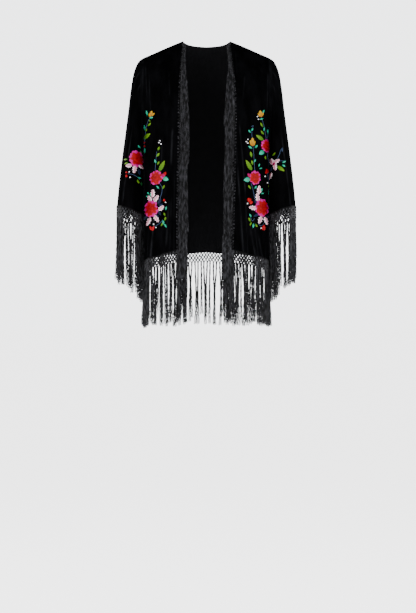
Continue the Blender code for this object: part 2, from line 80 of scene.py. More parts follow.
def mapped(tree, place, **how):
    """The place, stretched or turned."""
    return wire(tree, "ShaderNodeMapping", {"Vector": place, **how}).outputs["Vector"]


def noise(tree, place, scale, detail, **more):
    """A cloudy pattern."""
    inputs = {"Vector": place, "Scale": scale, "Detail": detail, **more}
    return wire(tree, "ShaderNodeTexNoise", inputs).outputs["Fac"]


def spread(tree, value, low, high):
    """The value, from 0 at the low limit to 1 at the high one."""
    inputs = {"Value": value, "From Min": low, "From Max": high}
    return wire(tree, "ShaderNodeMapRange", inputs).outputs["Result"]


def shaded(tree, share, dark, light):
    """A colour from dark to light by a share."""
    inputs = {"Factor": share, "A": dark, "B": light}
    return wire(tree, "ShaderNodeMix", inputs, data_type="RGBA").outputs["Result"]


def dye(tree, shader, colour):
    """Give the shader its colour."""
    tree.links.new(colour, shader.inputs["Base Color"])


def raise_grain(tree, shader, height, strength, distance):
    """Let a pattern stand up a little from the surface."""
    inputs = {"Strength": strength, "Distance": distance, "Height": height}
    bump = wire(tree, "ShaderNodeBump", inputs)
    tree.links.new(bump.outputs["Normal"], shader.inputs["Normal"])


def velvet_finish():
    """Black velvet, its pile brushed in soft patches, with painted sheen along its fold ridges and
    seams.
    """
    material, tree, shader = principled(
        "velvet", Roughness=0.95, Specular_IOR_Level=0.0, Sheen_Weight=0.022,
        Sheen_Roughness=0.16, Sheen_Tint=VELVET_BLOOM,
    )
    place = wire(tree, "ShaderNodeTexCoord").outputs["Object"]
    hanging = mapped(tree, place, Scale=(1.0, 1.0, 0.35))
    patches = spread(tree, noise(tree, hanging, 34.0, 4.0, Roughness=0.62), 0.40, 0.72)
    sheen_breakup = spread(tree, noise(tree, hanging, 60.0, 3.0), 0.30, 0.62)
    # Painted sheen: the base colour turns lighter along the fold ridges and beside the seams, broken
    # up by noise
    ridge_sheen_mask = wire(tree, "ShaderNodeAttribute", attribute_name="nap_and_painted_sheen").outputs["Fac"]
    lit = wire(tree, "ShaderNodeMath", {0: ridge_sheen_mask, 1: sheen_breakup}, operation="MULTIPLY").outputs["Value"]
    nap_and_painted_sheen = shaded(tree, patches, VELVET_BLACK, VELVET_BRUSHED)
    dye(tree, shader, shaded(tree, lit, nap_and_painted_sheen, VELVET_PAINTED_SHEEN))
    pile = noise(tree, place, 1400.0, 3.0)
    drift = wire(tree, "ShaderNodeMath", {0: pile, 1: patches}, operation="ADD").outputs["Value"]
    raise_grain(tree, shader, drift, 0.35, 0.0004)
    return material


def ground_finish():
    """The reverse of the velvet: its plain woven ground, without pile."""
    material, tree, shader = principled(
        "velvet_ground", Roughness=0.85, Specular_IOR_Level=0.04, Sheen_Weight=0.01,
        Sheen_Roughness=0.5,
    )
    place = wire(tree, "ShaderNodeTexCoord").outputs["Object"]
    dye(tree, shader, shaded(tree, noise(tree, place, 60.0, 3.0), GROUND_DARK, GROUND_LIGHT))
    raise_grain(tree, shader, noise(tree, place, 2200.0, 1.0), 0.3, 0.0002)
    return material


velvet = velvet_finish()
velvet_ground = ground_finish()

# Body panels
# The back is one piece. Each front runs from the shoulder seam to the hem, with a free edge in
# front. They are sewn at the shoulders and sides, and left open at the neck.
WALL = 0.0018
FINE = 6
YOKE_ROWS = 6 * FINE
ARMPIT_ROWS = 5 * FINE
SIDE_ROWS = 9 * FINE
FRONT_COLUMNS = 12 * FINE
BACK_HALF_COLUMNS = 12 * FINE
BODY_FULLNESS = 1.35
YOKE_TURN = math.radians(52)
ARMPIT_EASE = 0.36
SEWN_EDGE_REACH = 6
YOKE_EDGE_DROP = 0.121
YOKE_BACK_DROP = 0.142
ARMHOLE_TOP = (0.1770, 0.0485)
ARMHOLE_FOOT = (0.1745, 0.2510)
ARMHOLE_HALF_DEPTH = 0.070
ARMHOLE_MIDDLE_Y = 0.002
SEAM_NECK_END = (0.0655, -0.010, -0.003)
SEAM_ARCH = 0.0015
NECK_SHARE = 5 / 12
FRONT_NECK_PULL = np.array((0.010, -0.105, -0.075))
FRONT_ARMHOLE_PULL = np.array((0.0, -0.110, 0.0))
BACK_CENTRE_PULL = np.array((0.0, 0.049, -0.131))
BACK_NECK_PULL = np.array((0.0, 0.125, 0.055))
BACK_ARMHOLE_PULL = np.array((0.0, 0.110, 0.0))
SIDE_HEM_DROP = 0.606
EDGE_HEM_DROP = 0.579
BACK_HEM_DROP = 0.575
# Level from which a front's rows hold the hem's own line
HEM_EASE = 0.75
TALL_FOLD = 0.0055
RIDGE_SHARE = 0.20
SEAM_DIP = 0.0008
SEAM_DIP_REACH = 0.0035
# Strength of the painted sheen beside a seam
SEAM_PAINTED_SHEEN = 0.45
# A fold whose foot is lower than this runs out at the hem or the cuff
HANGING_FOOT = 0.47
# How fast the folds rise away from the side seams, and how far below the shoulder seam
FRONT_FOLD_RISE = 8
BACK_FOLD_RISE = 14
YOKE_FOLD_REACH = 5
# Past the neck end of the shoulder seam, where the back's top edge is sewn
SEWN_FROM_NECK = 0.004
ROW_SAG = 0.9
BODY_MIDDLE = np.array((0.0, 0.0, -0.20))
SHARP_EDGE = math.radians(60)

EdgeLine = namedtuple("EdgeLine", "drop right_x left_x forward band")
BackLine = namedtuple("BackLine", "drop behind")
SideLine = namedtuple("SideLine", "drop x")
NeckLine = namedtuple("NeckLine", "along x y z")
Fold = namedtuple("Fold", "top_x top_drop foot_x foot_drop width rise")

FRONT_EDGE = [
    EdgeLine(0.020, 0.0690, 0.0700, 0.024, 0.0095),
    EdgeLine(0.080, 0.0710, 0.0740, 0.080, 0.0140),
    EdgeLine(0.150, 0.0745, 0.0795, 0.114, 0.0235),
    EdgeLine(0.200, 0.0757, 0.0808, 0.125, 0.0275),
    EdgeLine(0.280, 0.0768, 0.0803, 0.129, 0.0290),
    EdgeLine(0.380, 0.0790, 0.0785, 0.131, 0.0290),
    EdgeLine(0.480, 0.0806, 0.0762, 0.133, 0.0285),
    EdgeLine(0.579, 0.0797, 0.0728, 0.136, 0.0275),
]
CENTRE_BACK = [
    BackLine(0.142, 0.1000),
    BackLine(0.200, 0.1020),
    BackLine(0.260, 0.1030),
    BackLine(0.340, 0.1055),
    BackLine(0.430, 0.1110),
    BackLine(0.520, 0.1180),
    BackLine(0.575, 0.1235),
]
SIDE_SEAM = [
    SideLine(0.251, 0.1742),
    SideLine(0.280, 0.1730),
    SideLine(0.340, 0.1722),
    SideLine(0.430, 0.1722),
    SideLine(0.520, 0.1725),
    SideLine(0.602, 0.1732),
]
NECK_EDGE = [
    NeckLine(0.00, 0.000, 0.062, -0.0080),
    NeckLine(0.35, 0.032, 0.055, -0.0065),
    NeckLine(0.70, 0.054, 0.032, -0.0040),
    NeckLine(0.90, 0.0625, 0.008, -0.0025),
    NeckLine(1.00, 0.0655, -0.010, -0.0030),
]
# Main folds, then the finer creases between them
RIGHT_FRONT_FOLDS = [
    Fold(0.090, 0.240, 0.096, 0.380, 0.010, 0.0045),
    Fold(0.099, 0.420, 0.109, 0.600, 0.011, 0.0070),
    Fold(0.124, 0.470, 0.128, 0.600, 0.009, -0.0050),
    Fold(0.134, 0.400, 0.150, 0.600, 0.011, 0.0065),
    Fold(0.152, 0.070, 0.122, 0.160, 0.011, -0.0040),
    Fold(0.108, 0.170, 0.090, 0.270, 0.011, -0.0040),
    Fold(0.164, 0.480, 0.166, 0.600, 0.008, -0.0045),
    Fold(0.166, 0.060, 0.160, 0.190, 0.005, 0.0022),
    Fold(0.118, 0.260, 0.122, 0.420, 0.006, 0.0014),
    Fold(0.146, 0.210, 0.138, 0.330, 0.006, -0.0015),
    Fold(0.102, 0.090, 0.098, 0.170, 0.007, 0.0010),
    Fold(0.088, 0.480, 0.090, 0.600, 0.005, -0.0020),
    Fold(0.092, 0.400, 0.099, 0.600, 0.007, 0.0022),
    Fold(0.085, 0.270, 0.087, 0.600, 0.006, 0.0010),
    Fold(0.156, 0.080, 0.150, 0.230, 0.006, 0.0012),
]
LEFT_FRONT_FOLDS = [
    Fold(0.087, 0.220, 0.106, 0.440, 0.008, 0.0045),
    Fold(0.076, 0.240, 0.100, 0.600, 0.008, 0.0050),
    Fold(0.112, 0.380, 0.116, 0.600, 0.008, -0.0055),
    Fold(0.114, 0.500, 0.133, 0.600, 0.009, 0.0075),
    Fold(0.136, 0.520, 0.152, 0.600, 0.008, 0.0060),
    Fold(0.155, 0.075, 0.132, 0.170, 0.011, -0.0040),
    Fold(0.120, 0.180, 0.126, 0.330, 0.013, -0.0035),
    Fold(0.168, 0.080, 0.164, 0.210, 0.005, 0.0024),
    Fold(0.142, 0.240, 0.136, 0.360, 0.006, -0.0014),
    Fold(0.104, 0.100, 0.098, 0.180, 0.007, 0.0010),
    Fold(0.086, 0.500, 0.084, 0.600, 0.005, -0.0024),
    Fold(0.160, 0.420, 0.167, 0.600, 0.006, -0.0022),
    Fold(0.100, 0.330, 0.112, 0.600, 0.006, 0.0014),
    Fold(0.118, 0.420, 0.140, 0.600, 0.006, 0.0016),
    Fold(0.079, 0.030, 0.083, 0.110, 0.005, 0.0008),
]
BACK_FOLDS = [
    Fold(-0.012, 0.330, -0.020, 0.604, 0.016, -0.0060),
    Fold(0.030, 0.300, 0.034, 0.604, 0.015, 0.0065),
    Fold(-0.058, 0.250, -0.066, 0.604, 0.015, 0.0075),
    Fold(0.072, 0.340, 0.080, 0.604, 0.013, -0.0055),
    Fold(-0.098, 0.320, -0.112, 0.604, 0.014, -0.0065),
    Fold(0.112, 0.240, 0.124, 0.604, 0.014, 0.0070),
    Fold(-0.134, 0.360, -0.146, 0.604, 0.012, 0.0060),
    Fold(0.146, 0.380, 0.154, 0.604, 0.011, -0.0045),
    Fold(-0.150, 0.090, -0.128, 0.200, 0.009, -0.0022),
    Fold(0.152, 0.085, 0.126, 0.210, 0.009, -0.0020),
    Fold(0.090, 0.120, 0.078, 0.260, 0.010, 0.0014),
    Fold(-0.084, 0.110, -0.070, 0.230, 0.010, 0.0012),
    Fold(0.010, 0.420, 0.006, 0.604, 0.008, 0.0020),
    Fold(-0.040, 0.400, -0.044, 0.604, 0.008, -0.0022),
]


def read(table, name, at):
    """A named column of a table, read smoothly at a value of the table's first column."""
    knots = np.array([row[0] for row in table])
    values = np.array([getattr(row, name) for row in table])
    at = min(max(at, knots[0]), knots[-1])
    slopes = np.gradient(values, knots)
    i = min(max(int(np.searchsorted(knots, at)) - 1, 0), len(knots) - 2)
    step = knots[i + 1] - knots[i]
    u = (at - knots[i]) / step
    start = values[i] * (1 + 2 * u) * (1 - u) ** 2 + slopes[i] * step * u * (1 - u) ** 2
    end = values[i + 1] * u**2 * (3 - 2 * u) - slopes[i + 1] * step * u**2 * (1 - u)
    return start + end


def ramp(value):
    """0 below 0, 1 above 1, smooth between, for a number or an array."""
    value = np.clip(value, 0.0, 1.0)
    return value * value * (3 - 2 * value)


def unit(vector):
    """The vector at a length of one."""
    return vector / np.linalg.norm(vector)


def armhole(angle, toward):
    """A point of the armhole: angle 0 at the shoulder, pi at the armpit, toward -1 in front."""
    share = (1 - math.cos(angle)) / 2
    return np.array([
        ARMHOLE_TOP[0] + (ARMHOLE_FOOT[0] - ARMHOLE_TOP[0]) * share,
        ARMHOLE_MIDDLE_Y + toward * ARMHOLE_HALF_DEPTH * math.sin(angle),
        -ARMHOLE_TOP[1] - (ARMHOLE_FOOT[1] - ARMHOLE_TOP[1]) * share,
    ])


def shoulder_seam(share):
    """A point of the shoulder seam, from the neck at 0 to the armhole at 1."""
    start = np.array(SEAM_NECK_END)
    point = start + (armhole(0, 1) - start) * share
    point[2] += SEAM_ARCH * math.sin(math.pi * share)
    return point


def body_levels():
    """The rows below the yoke: drop at the side, armhole angle or None, and level."""
    sides = []
    for k in range(ARMPIT_ROWS):
        angle = math.pi / 2 * (1 + k / ARMPIT_ROWS)
        sides.append((-armhole(angle, 1)[2], angle))
    for k in range(SIDE_ROWS + 1):
        drop = ARMHOLE_FOOT[1] + (SIDE_HEM_DROP - ARMHOLE_FOOT[1]) * k / SIDE_ROWS
        sides.append((drop, None))
    yoke = sides[0][0]
    levels = []
    for k, (drop, angle) in enumerate(sides):
        even = k / (ARMPIT_ROWS + SIDE_ROWS)
        by_side = (drop - yoke) / (SIDE_HEM_DROP - yoke)
        levels.append((drop, angle, (even + by_side) / 2))
    return levels


def across_row(start, end, turned, share, near_hem):
    """A point of a row that leaves the start sideways and turns back towards the end."""
    turn = YOKE_TURN + (math.pi / 2 - YOKE_TURN) * turned
    angle = turn * share
    out = math.sin(angle) / math.sin(turn)
    back = ((1 - math.cos(angle)) / (1 - math.cos(turn))) ** (1 + (BODY_FULLNESS - 1) * turned)
    level = share ** (1 + ROW_SAG * out)
    level += (1 - (1 - share) ** 2 - level) * near_hem
    x = start[0] + (end[0] - start[0]) * out
    y = start[1] + (end[1] - start[1]) * back
    return np.array([x, y, start[2] + (end[2] - start[2]) * level])


def edge_point(side, level):
    """The free front edge at a level of the body."""
    drop = YOKE_EDGE_DROP + (EDGE_HEM_DROP - YOKE_EDGE_DROP) * level
    x = read(FRONT_EDGE, "left_x" if side > 0 else "right_x", drop)
    return np.array([x, -read(FRONT_EDGE, "forward", drop), -drop])


def centre_back(level):
    """The middle of the back at a level of the body."""
    drop = YOKE_BACK_DROP + (BACK_HEM_DROP - YOKE_BACK_DROP) * level
    return np.array([0.0, read(CENTRE_BACK, "behind", drop), -drop])


def body_row(start, drop, angle, level, toward, share):
    """A point of a row below the yoke, which eases round to the side and ends on its seam."""
    seam = np.array([read(SIDE_SEAM, "x", drop), 0.0, -drop])
    eased = ramp(level / ARMPIT_EASE)
    depth = ARMHOLE_MIDDLE_Y + toward * ARMHOLE_HALF_DEPTH
    end = seam + np.array([0.0, depth * (1 - eased), 0.0])
    sewn = seam if angle is None else armhole(angle, toward)
    near_hem = ramp((level - HEM_EASE) / (1 - HEM_EASE)) if toward < 0 else 0.0
    point = across_row(start, end, eased, share, near_hem)
    return point + (sewn - end) * share**SEWN_EDGE_REACH


def hermite(start, start_pull, end, end_pull, u):
    """A curve from start to end that leaves and arrives along the two pulls."""
    curve = (1 + 2 * u) * (1 - u) ** 2 * start + u * (1 - u) ** 2 * start_pull
    return curve + u**2 * (3 - 2 * u) * end - u**2 * (1 - u) * end_pull


def front_pull(share):
    """How the front leaves the shoulder seam, from neck to armhole."""
    return FRONT_NECK_PULL + (FRONT_ARMHOLE_PULL - FRONT_NECK_PULL) * share


def back_pull(share):
    """How the back leaves its neck edge or shoulder seam, from centre back to armhole."""
    if share < NECK_SHARE:
        near = (share / NECK_SHARE) ** 3
        return BACK_CENTRE_PULL + (BACK_NECK_PULL - BACK_CENTRE_PULL) * near
    along = (share - NECK_SHARE) / (1 - NECK_SHARE)
    return BACK_NECK_PULL + (BACK_ARMHOLE_PULL - BACK_NECK_PULL) * along


def back_top(share):
    """The upper boundary of the back's half."""
    if share < NECK_SHARE:
        return np.array([read(NECK_EDGE, name, share / NECK_SHARE) for name in "xyz"])
    return shoulder_seam((share - NECK_SHARE) / (1 - NECK_SHARE))


def body_line(side, share, front):
    """One line of a front or of the back's half, from its top to the hem."""
    toward = -1 if front else 1
    rows = []
    for drop, angle, level in body_levels():
        start = edge_point(side, level) if front else centre_back(level)
        rows.append(body_row(start, drop, angle, level, toward, share))
    top = shoulder_seam(share) if front else back_top(share)
    pull = front_pull(share) if front else back_pull(share)
    arrive = (rows[1] - rows[0]) * ARMPIT_ROWS
    line = []
    for k in range(YOKE_ROWS):
        if share == 1:
            line.append(armhole(math.pi / 2 * k / YOKE_ROWS, toward))
        else:
            line.append(hermite(top, pull, rows[0], arrive, k / YOKE_ROWS))
    return np.array(line + rows)


def fold_line(fold, out, drop):
    """How far from a fold's middle a place is, in widths, and how strong the fold is there."""
    along = (drop - fold.top_drop) / (fold.foot_drop - fold.top_drop)
    middle = fold.top_x + (fold.foot_x - fold.top_x) * along
    if fold.foot_drop > HANGING_FOOT:
        strength = ramp(along)
    else:
        strength = ramp(2 * along) * ramp(2 - 2 * along)
    return (out - middle) / fold.width, strength


def fold_depth(folds, out, drop):
    """How far the folds lift the cloth at a distance out and a drop."""
    total = np.zeros_like(drop)
    for fold in folds:
        away, strength = fold_line(fold, out, drop)
        total += fold.rise * strength * np.exp(-(away**2))
    return total


def painted_ridge_sheen(folds, out, drop):
    """How much painted sheen lies along the ridges of the folds, from 0 to 1."""
    total = np.zeros_like(drop)
    for fold in folds:
        if fold.rise > 0:
            away, strength = fold_line(fold, out, drop)
            height = min(1.0, fold.rise / TALL_FOLD) ** 0.5
            total += height * ramp(3 * strength) * np.exp(-((away / RIDGE_SHARE) ** 2))
    return np.clip(total, 0.0, 1.0)


def grid_normals(grid, outward, ring=False):
    """Unit normals of a grid of points, on the side of the outward vectors."""
    if ring:
        across = np.roll(grid, -1, axis=1) - np.roll(grid, 1, axis=1)
    else:
        across = np.gradient(grid, axis=1)
    normals = np.cross(np.gradient(grid, axis=0), across)
    normals /= np.maximum(np.linalg.norm(normals, axis=2, keepdims=True), 1e-9)
    turned = (normals * outward).sum(axis=2, keepdims=True)
    return np.where(turned < 0, -normals, normals)


def body_outward(grid):
    """The way out of the body at each point of a panel, level or upwards."""
    outward = grid - BODY_MIDDLE
    outward[:, :, 2] = np.maximum(outward[:, :, 2], 0.0)
    return outward


def painted_seam_sheen(grid, seam):
    """How much painted sheen lies just beside a seam, given the seam's points."""
    away = np.linalg.norm(grid - seam, axis=2)
    return SEAM_PAINTED_SHEEN * np.exp(-(((away - SEAM_DIP_REACH) / SEAM_DIP_REACH) ** 2))


def seam_dip(grid, seam, sewn=1.0):
    """How far the cloth sinks beside a seam, given the seam's points."""
    away = np.linalg.norm(grid - seam, axis=2)
    return SEAM_DIP * np.exp(-((away / SEAM_DIP_REACH) ** 2)) * sewn


def folded(grid, folds, front):
    """The grid with its folds raised, quiet at the sewn edges, which sink a little in a seam."""
    normals = grid_normals(grid, body_outward(grid))
    rows, columns = grid.shape[:2]
    share = np.arange(columns) / (columns - 1)
    if front:
        from_side = (1 - share) * FRONT_FOLD_RISE
    else:
        from_side = np.minimum(share, 1 - share) * BACK_FOLD_RISE
    below_seam = (np.arange(rows) / FINE - 1) / YOKE_FOLD_REACH
    depth = fold_depth(folds, grid[:, :, 0], -grid[:, :, 2])
    depth = depth * ramp(from_side)[None, :] * ramp(below_seam)[:, None]
    level = normals * np.array([1.0, 1.0, 0.0])
    level /= np.maximum(np.linalg.norm(level, axis=2, keepdims=True), 1e-6)
    dip = seam_dip(grid, grid[:, -1:])
    if not front:
        dip += seam_dip(grid, grid[:, :1])
    sewn = np.abs(grid[:1, :, 0]) > (0 if front else SEAM_NECK_END[0] + SEWN_FROM_NECK)
    dip += seam_dip(grid, grid[:1], sewn)
    return grid + level * depth[:, :, None] - normals * dip[:, :, None]


def front_grid(side):
    """Outer points of a front, from its free edge to the side seam."""
    lines = [body_line(side, j / FRONT_COLUMNS, True) for j in range(FRONT_COLUMNS + 1)]
    folds = LEFT_FRONT_FOLDS if side > 0 else RIGHT_FRONT_FOLDS
    grid = folded(np.stack(lines, axis=1), folds, True)
    grid[:, :, 0] *= side
    return grid


def back_grid():
    """Outer points of the back, from the right side seam to the left one."""
    count = BACK_HALF_COLUMNS
    half = np.stack([body_line(1, j / count, False) for j in range(count + 1)], axis=1)
    other = half[:, :0:-1].copy()
    other[:, :, 0] *= -1
    return folded(np.concatenate([other, half], axis=1), BACK_FOLDS, False)


def add_mesh(name, points, faces, material, uvs=None):
    """A mesh object at the origin, with one material and, where given, a UV map."""
    mesh = bpy.data.meshes.new(name)
    mesh.from_pydata([tuple(point) for point in points], [], faces)
    if uvs is not None:
        layer = mesh.uv_layers.new(name="cut")
        corners = np.empty(len(mesh.loops), dtype=np.int32)
        mesh.loops.foreach_get("vertex_index", corners)
        layer.data.foreach_set("uv", np.asarray(uvs, dtype=np.float32)[corners].ravel())
    mesh.materials.append(material)
    mesh.update()
    made = bpy.data.objects.new(name, mesh)
    bpy.context.scene.collection.objects.link(made)
    return made


def shell_faces(rows, columns, ring):
    """Faces of a closed wall whose outer points come first, then as many inner ones."""
    half = rows * columns
    faces = []
    last = columns if ring else columns - 1
    for i in range(rows - 1):
        for j in range(last):
            k = (j + 1) % columns
            a, b = i * columns + j, i * columns + k
            c, d = b + columns, a + columns
            faces.append((a, b, c, d))
            faces.append((half + d, half + c, half + b, half + a))
    for j in range(last):
        k = (j + 1) % columns
        low = (rows - 1) * columns
        faces.append((k, j, half + j, half + k))
        faces.append((low + j, low + k, half + low + k, half + low + j))
    if not ring:
        for i in range(rows - 1):
            a, b = i * columns, (i + 1) * columns
            faces.append((a, b, half + b, half + a))
            a, b = a + columns - 1, b + columns - 1
            faces.append((b, a, half + a, half + b))
    return faces


def turned_out(points, faces):
    """The faces, reversed if the closed shell that they make is inside out."""
    points = np.asarray(points)
    volume = 0.0
    for face in faces:
        first = points[face[0]]
        for b, c in zip(face[1:-1], face[2:]):
            volume += np.dot(first, np.cross(points[b], points[c]))
    if volume < 0:
        return [tuple(reversed(face)) for face in faces]
    return faces


def cloth_shell(name, grid, normals, ring, material, thickness):
    """A thin wall of cloth whose outer face is the grid."""
    points = np.concatenate([grid.reshape(-1, 3), (grid - normals * thickness).reshape(-1, 3)])
    faces = turned_out(points, shell_faces(*grid.shape[:2], ring))
    across = np.linalg.norm(np.diff(grid, axis=1, append=grid[:, -1:]), axis=2)
    down = np.linalg.norm(np.diff(grid, axis=0, append=grid[-1:]), axis=2)
    u = np.cumsum(across, axis=1)
    v = np.cumsum(down, axis=0)
    uvs = np.tile(np.stack([u.ravel(), v.ravel()], axis=1), (2, 1))
    made = add_mesh(name, points, faces, material, uvs)
    made.data.shade_smooth()
    made.data.set_sharp_from_angle(angle=SHARP_EDGE)
    return made


def stand_in(piece, node):
    """Set a finished piece in the place of a node of the solid model."""
    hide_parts(node)
    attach(piece, "root")


def velvet_piece(name, grid, normals, ring, nap_and_painted_sheen):
    """One cut piece of velvet, without pile on its reverse, with painted sheen along its ridges and
    seams.
    """
    made = cloth_shell("velvet_" + name, grid, normals, ring, velvet, WALL)
    made.data.materials.append(velvet_ground)
    rows, columns = grid.shape[:2]
    walls = 2 * (rows - 1) * (columns if ring else columns - 1)
    for k in range(1, walls, 2):
        made.data.polygons[k].material_index = 1
    layer = made.data.attributes.new("nap_and_painted_sheen", "FLOAT", "POINT")
    layer.data.foreach_set("value", np.tile(nap_and_painted_sheen.ravel(), 2).astype(np.float32))
    stand_in(made, name)
    return made


def surface_of(grid):
    """The outer face of a panel, as a surface that other pieces can be laid on."""
    rows, columns = grid.shape[:2]
    faces = []
    for i in range(rows - 1):
        for j in range(columns - 1):
            a = i * columns + j
            faces.append((a, a + 1, a + columns + 1, a + columns))
    return BVHTree.FromPolygons([Vector(p) for p in grid.reshape(-1, 3)], faces)


grids = {"back": back_grid(), "front_right": front_grid(-1), "front_left": front_grid(1)}
FOLDS = {"back": BACK_FOLDS, "front_right": RIGHT_FRONT_FOLDS, "front_left": LEFT_FRONT_FOLDS}
for name, grid in grids.items():
    normals = grid_normals(grid, body_outward(grid))
    out = grid[:, :, 0] if name == "back" else np.abs(grid[:, :, 0])
    # Painted sheen: a lighter base colour along the fold ridges, and beside the armhole seam
    nap_and_painted_sheen = np.maximum(
        painted_ridge_sheen(FOLDS[name], out, -grid[:, :, 2]),
        painted_seam_sheen(grid, grid[:, -1:]) * (-grid[:, :, 2] < ARMHOLE_FOOT[1]),
    )
    velvet_piece(name, grid, normals, False, nap_and_painted_sheen)

# Sleeves
# One-seam tubes of the same velvet, set into the armholes, full at the top and hanging wide at the
# cuffs, where their own weight pulls soft folds from the sleeve head.
RING_POINTS = 108
RING_ANGLES = 2 * math.pi * np.arange(RING_POINTS) / RING_POINTS
SLEEVE_RINGS = 96
RING_SPACING = 1.25
CUFF_BACK_DROP = 0.008
HEAD_FOLD_RISE = 6
TOUCH_GAP = 0.0003
BELOW_ARMPIT = 0.004
BESIDE_SLEEVE = 0.4
# How far the head of a sleeve reaches under the edge of its armhole
SLEEVE_TUCK = 0.0036

Ring = namedtuple("Ring", "along outer_x outer_drop inner_x inner_drop half_depth middle_y")
SLEEVE = [
    Ring(0.00, 0.1776, 0.0485, 0.1752, 0.2510, 0.0700, 0.002),
    Ring(0.08, 0.1885, 0.0605, 0.1740, 0.2565, 0.0722, 0.001),
    Ring(0.17, 0.1985, 0.0850, 0.1728, 0.2680, 0.0742, 0.000),
    Ring(0.29, 0.2065, 0.1275, 0.1719, 0.2900, 0.0762, -0.001),
    Ring(0.43, 0.2135, 0.1860, 0.1713, 0.3200, 0.0780, -0.003),
    Ring(0.57, 0.2215, 0.2480, 0.1710, 0.3560, 0.0792, -0.005),
    Ring(0.71, 0.2300, 0.3140, 0.1708, 0.3950, 0.0802, -0.007),
    Ring(0.85, 0.2375, 0.3830, 0.1707, 0.4370, 0.0810, -0.009),
    Ring(1.00, 0.2440, 0.4580, 0.1710, 0.4820, 0.0815, -0.010),
]
# By the angle round the sleeve, from its outer side forward
SLEEVE_FOLDS = [
    Fold(1.30, 0.200, 1.05, 0.480, 0.22, 0.0040),
    Fold(1.75, 0.080, 1.62, 0.230, 0.18, -0.0035),
    Fold(1.95, 0.280, 2.10, 0.480, 0.24, -0.0035),
    Fold(0.45, 0.150, 0.62, 0.420, 0.26, -0.0030),
    Fold(4.30, 0.120, 4.45, 0.480, 0.24, 0.0040),
    Fold(4.95, 0.200, 5.10, 0.480, 0.22, -0.0035),
    Fold(5.60, 0.260, 5.50, 0.480, 0.24, 0.0030),
    Fold(0.85, 0.060, 1.10, 0.190, 0.10, 0.0022),
    Fold(1.45, 0.065, 1.30, 0.160, 0.08, 0.0018),
    Fold(0.20, 0.300, 0.28, 0.480, 0.10, 0.0020),
    Fold(0.90, 0.330, 0.80, 0.480, 0.09, -0.0016),
    Fold(5.05, 0.070, 5.20, 0.180, 0.10, 0.0018),
    Fold(4.60, 0.300, 4.70, 0.480, 0.10, -0.0018),
]


def ring_points(along):
    """A ring of the left sleeve: angle 0 on its outer side, a quarter turn in front."""
    outer = np.array([read(SLEEVE, "outer_x", along), 0.0, -read(SLEEVE, "outer_drop", along)])
    inner = np.array([read(SLEEVE, "inner_x", along), 0.0, -read(SLEEVE, "inner_drop", along)])
    across = np.cos(RING_ANGLES)[:, None]
    forward = np.sin(RING_ANGLES)
    half_width = (outer[0] - inner[0]) / 2
    half_depth = read(SLEEVE, "half_depth", along)
    points = (outer + inner) / 2 + (outer - inner) / 2 * across
    points[:, 1] = read(SLEEVE, "middle_y", along) - half_depth * forward
    points[:, 2] += CUFF_BACK_DROP * along**2 * forward / 2
    away = np.stack([across[:, 0] * half_depth, -forward * half_width, 0 * forward], axis=1)
    away /= np.linalg.norm(away, axis=1, keepdims=True)
    depth = fold_depth(SLEEVE_FOLDS, RING_ANGLES, -points[:, 2]) * ramp(along * HEAD_FOLD_RISE)
    return points + away * depth[:, None]


def ring_normals(grid):
    """Unit normals of a sleeve's outer face."""
    return grid_normals(grid, grid - grid.mean(axis=1, keepdims=True), True)


def pressed(grid, side):
    """The sleeve with its inner side laid flat where it would sink into the body."""
    across = Vector((-side, 0.0, 0.0))
    front = "front_left" if side > 0 else "front_right"
    bodies = [surface_of(grids["back"]), surface_of(grids[front])]
    rows, columns = grid.shape[:2]
    for i in range(rows):
        middle = grid[i, :, 0].mean()
        for j in range(columns):
            x, y, z = grid[i, j]
            if abs(x) > abs(middle) or -z < ARMHOLE_FOOT[1] + BELOW_ARMPIT:
                continue
            for body in bodies:
                place, _, _, _ = body.ray_cast(Vector((side * BESIDE_SLEEVE, y, z)), across)
                if place is not None and place.x * side > abs(x) - TOUCH_GAP:
                    grid[i, j, 0] = place.x + side * TOUCH_GAP
    return grid


def sleeve_grid(side):
    """Outer points of a sleeve, a row for each ring from armhole to cuff."""
    alongs = (np.arange(SLEEVE_RINGS + 1) / SLEEVE_RINGS) ** RING_SPACING
    grid = np.array([ring_points(along) for along in alongs])
    grid[:, :, 0] *= side
    normals = ring_normals(grid)
    grid = pressed(grid - normals * seam_dip(grid, grid[:1])[:, :, None], side)
    grid[0] -= normals[0] * SLEEVE_TUCK / 2
    grid[0, :, 0] -= side * SLEEVE_TUCK
    return grid


for side, name in ((-1, "sleeve_right"), (1, "sleeve_left")):
    grid = sleeve_grid(side)
    # Painted sheen along the sleeve's fold ridges and beside its armhole seam
    nap_and_painted_sheen = np.maximum(
        painted_ridge_sheen(SLEEVE_FOLDS, np.tile(RING_ANGLES, (len(grid), 1)), -grid[:, :, 2]),
        painted_seam_sheen(grid, grid[:1]),
    )
    grids[name] = grid
    velvet_piece(name, grid, ring_normals(grid), True, nap_and_painted_sheen)

# Knotted fringe
# Crimped silk yarn, knotted by hand into four rows of diamonds and left as tassels below them. One
# length is sewn along the hem and one round each cuff, under a flat braid.
# Painted shade and painted glints: dark and light copies of the black silk, mixed in streaks
SILK_PAINTED_SHADE = (0.00035, 0.00035, 0.0004, 1.0)
SILK_PAINTED_GLINT = (0.03325, 0.03325, 0.038, 1.0)
BRAID_DARK = (0.0005, 0.0005, 0.0006, 1.0)
BRAID_LIGHT = (0.0030, 0.0030, 0.0033, 1.0)
PITCH = 0.009
NET_TOP = 0.0025
NET_ROWS = 4
NET_ROW_DROP = 0.0065
NET_UNEVENNESS = 0.0005
NET_BEHIND_CLOTH = 0.0006
CORD_RADIUS = 0.0017
KNOT_RADIUS = 0.0028
SMALL_KNOT = (0.85, 0.85, 1.0)
LARGE_KNOT = (1.1, 1.1, 1.35)
THREADS_APART = 3.7
WANDER_GAIN = 4.0
FRINGE_END_DROP = 0.779
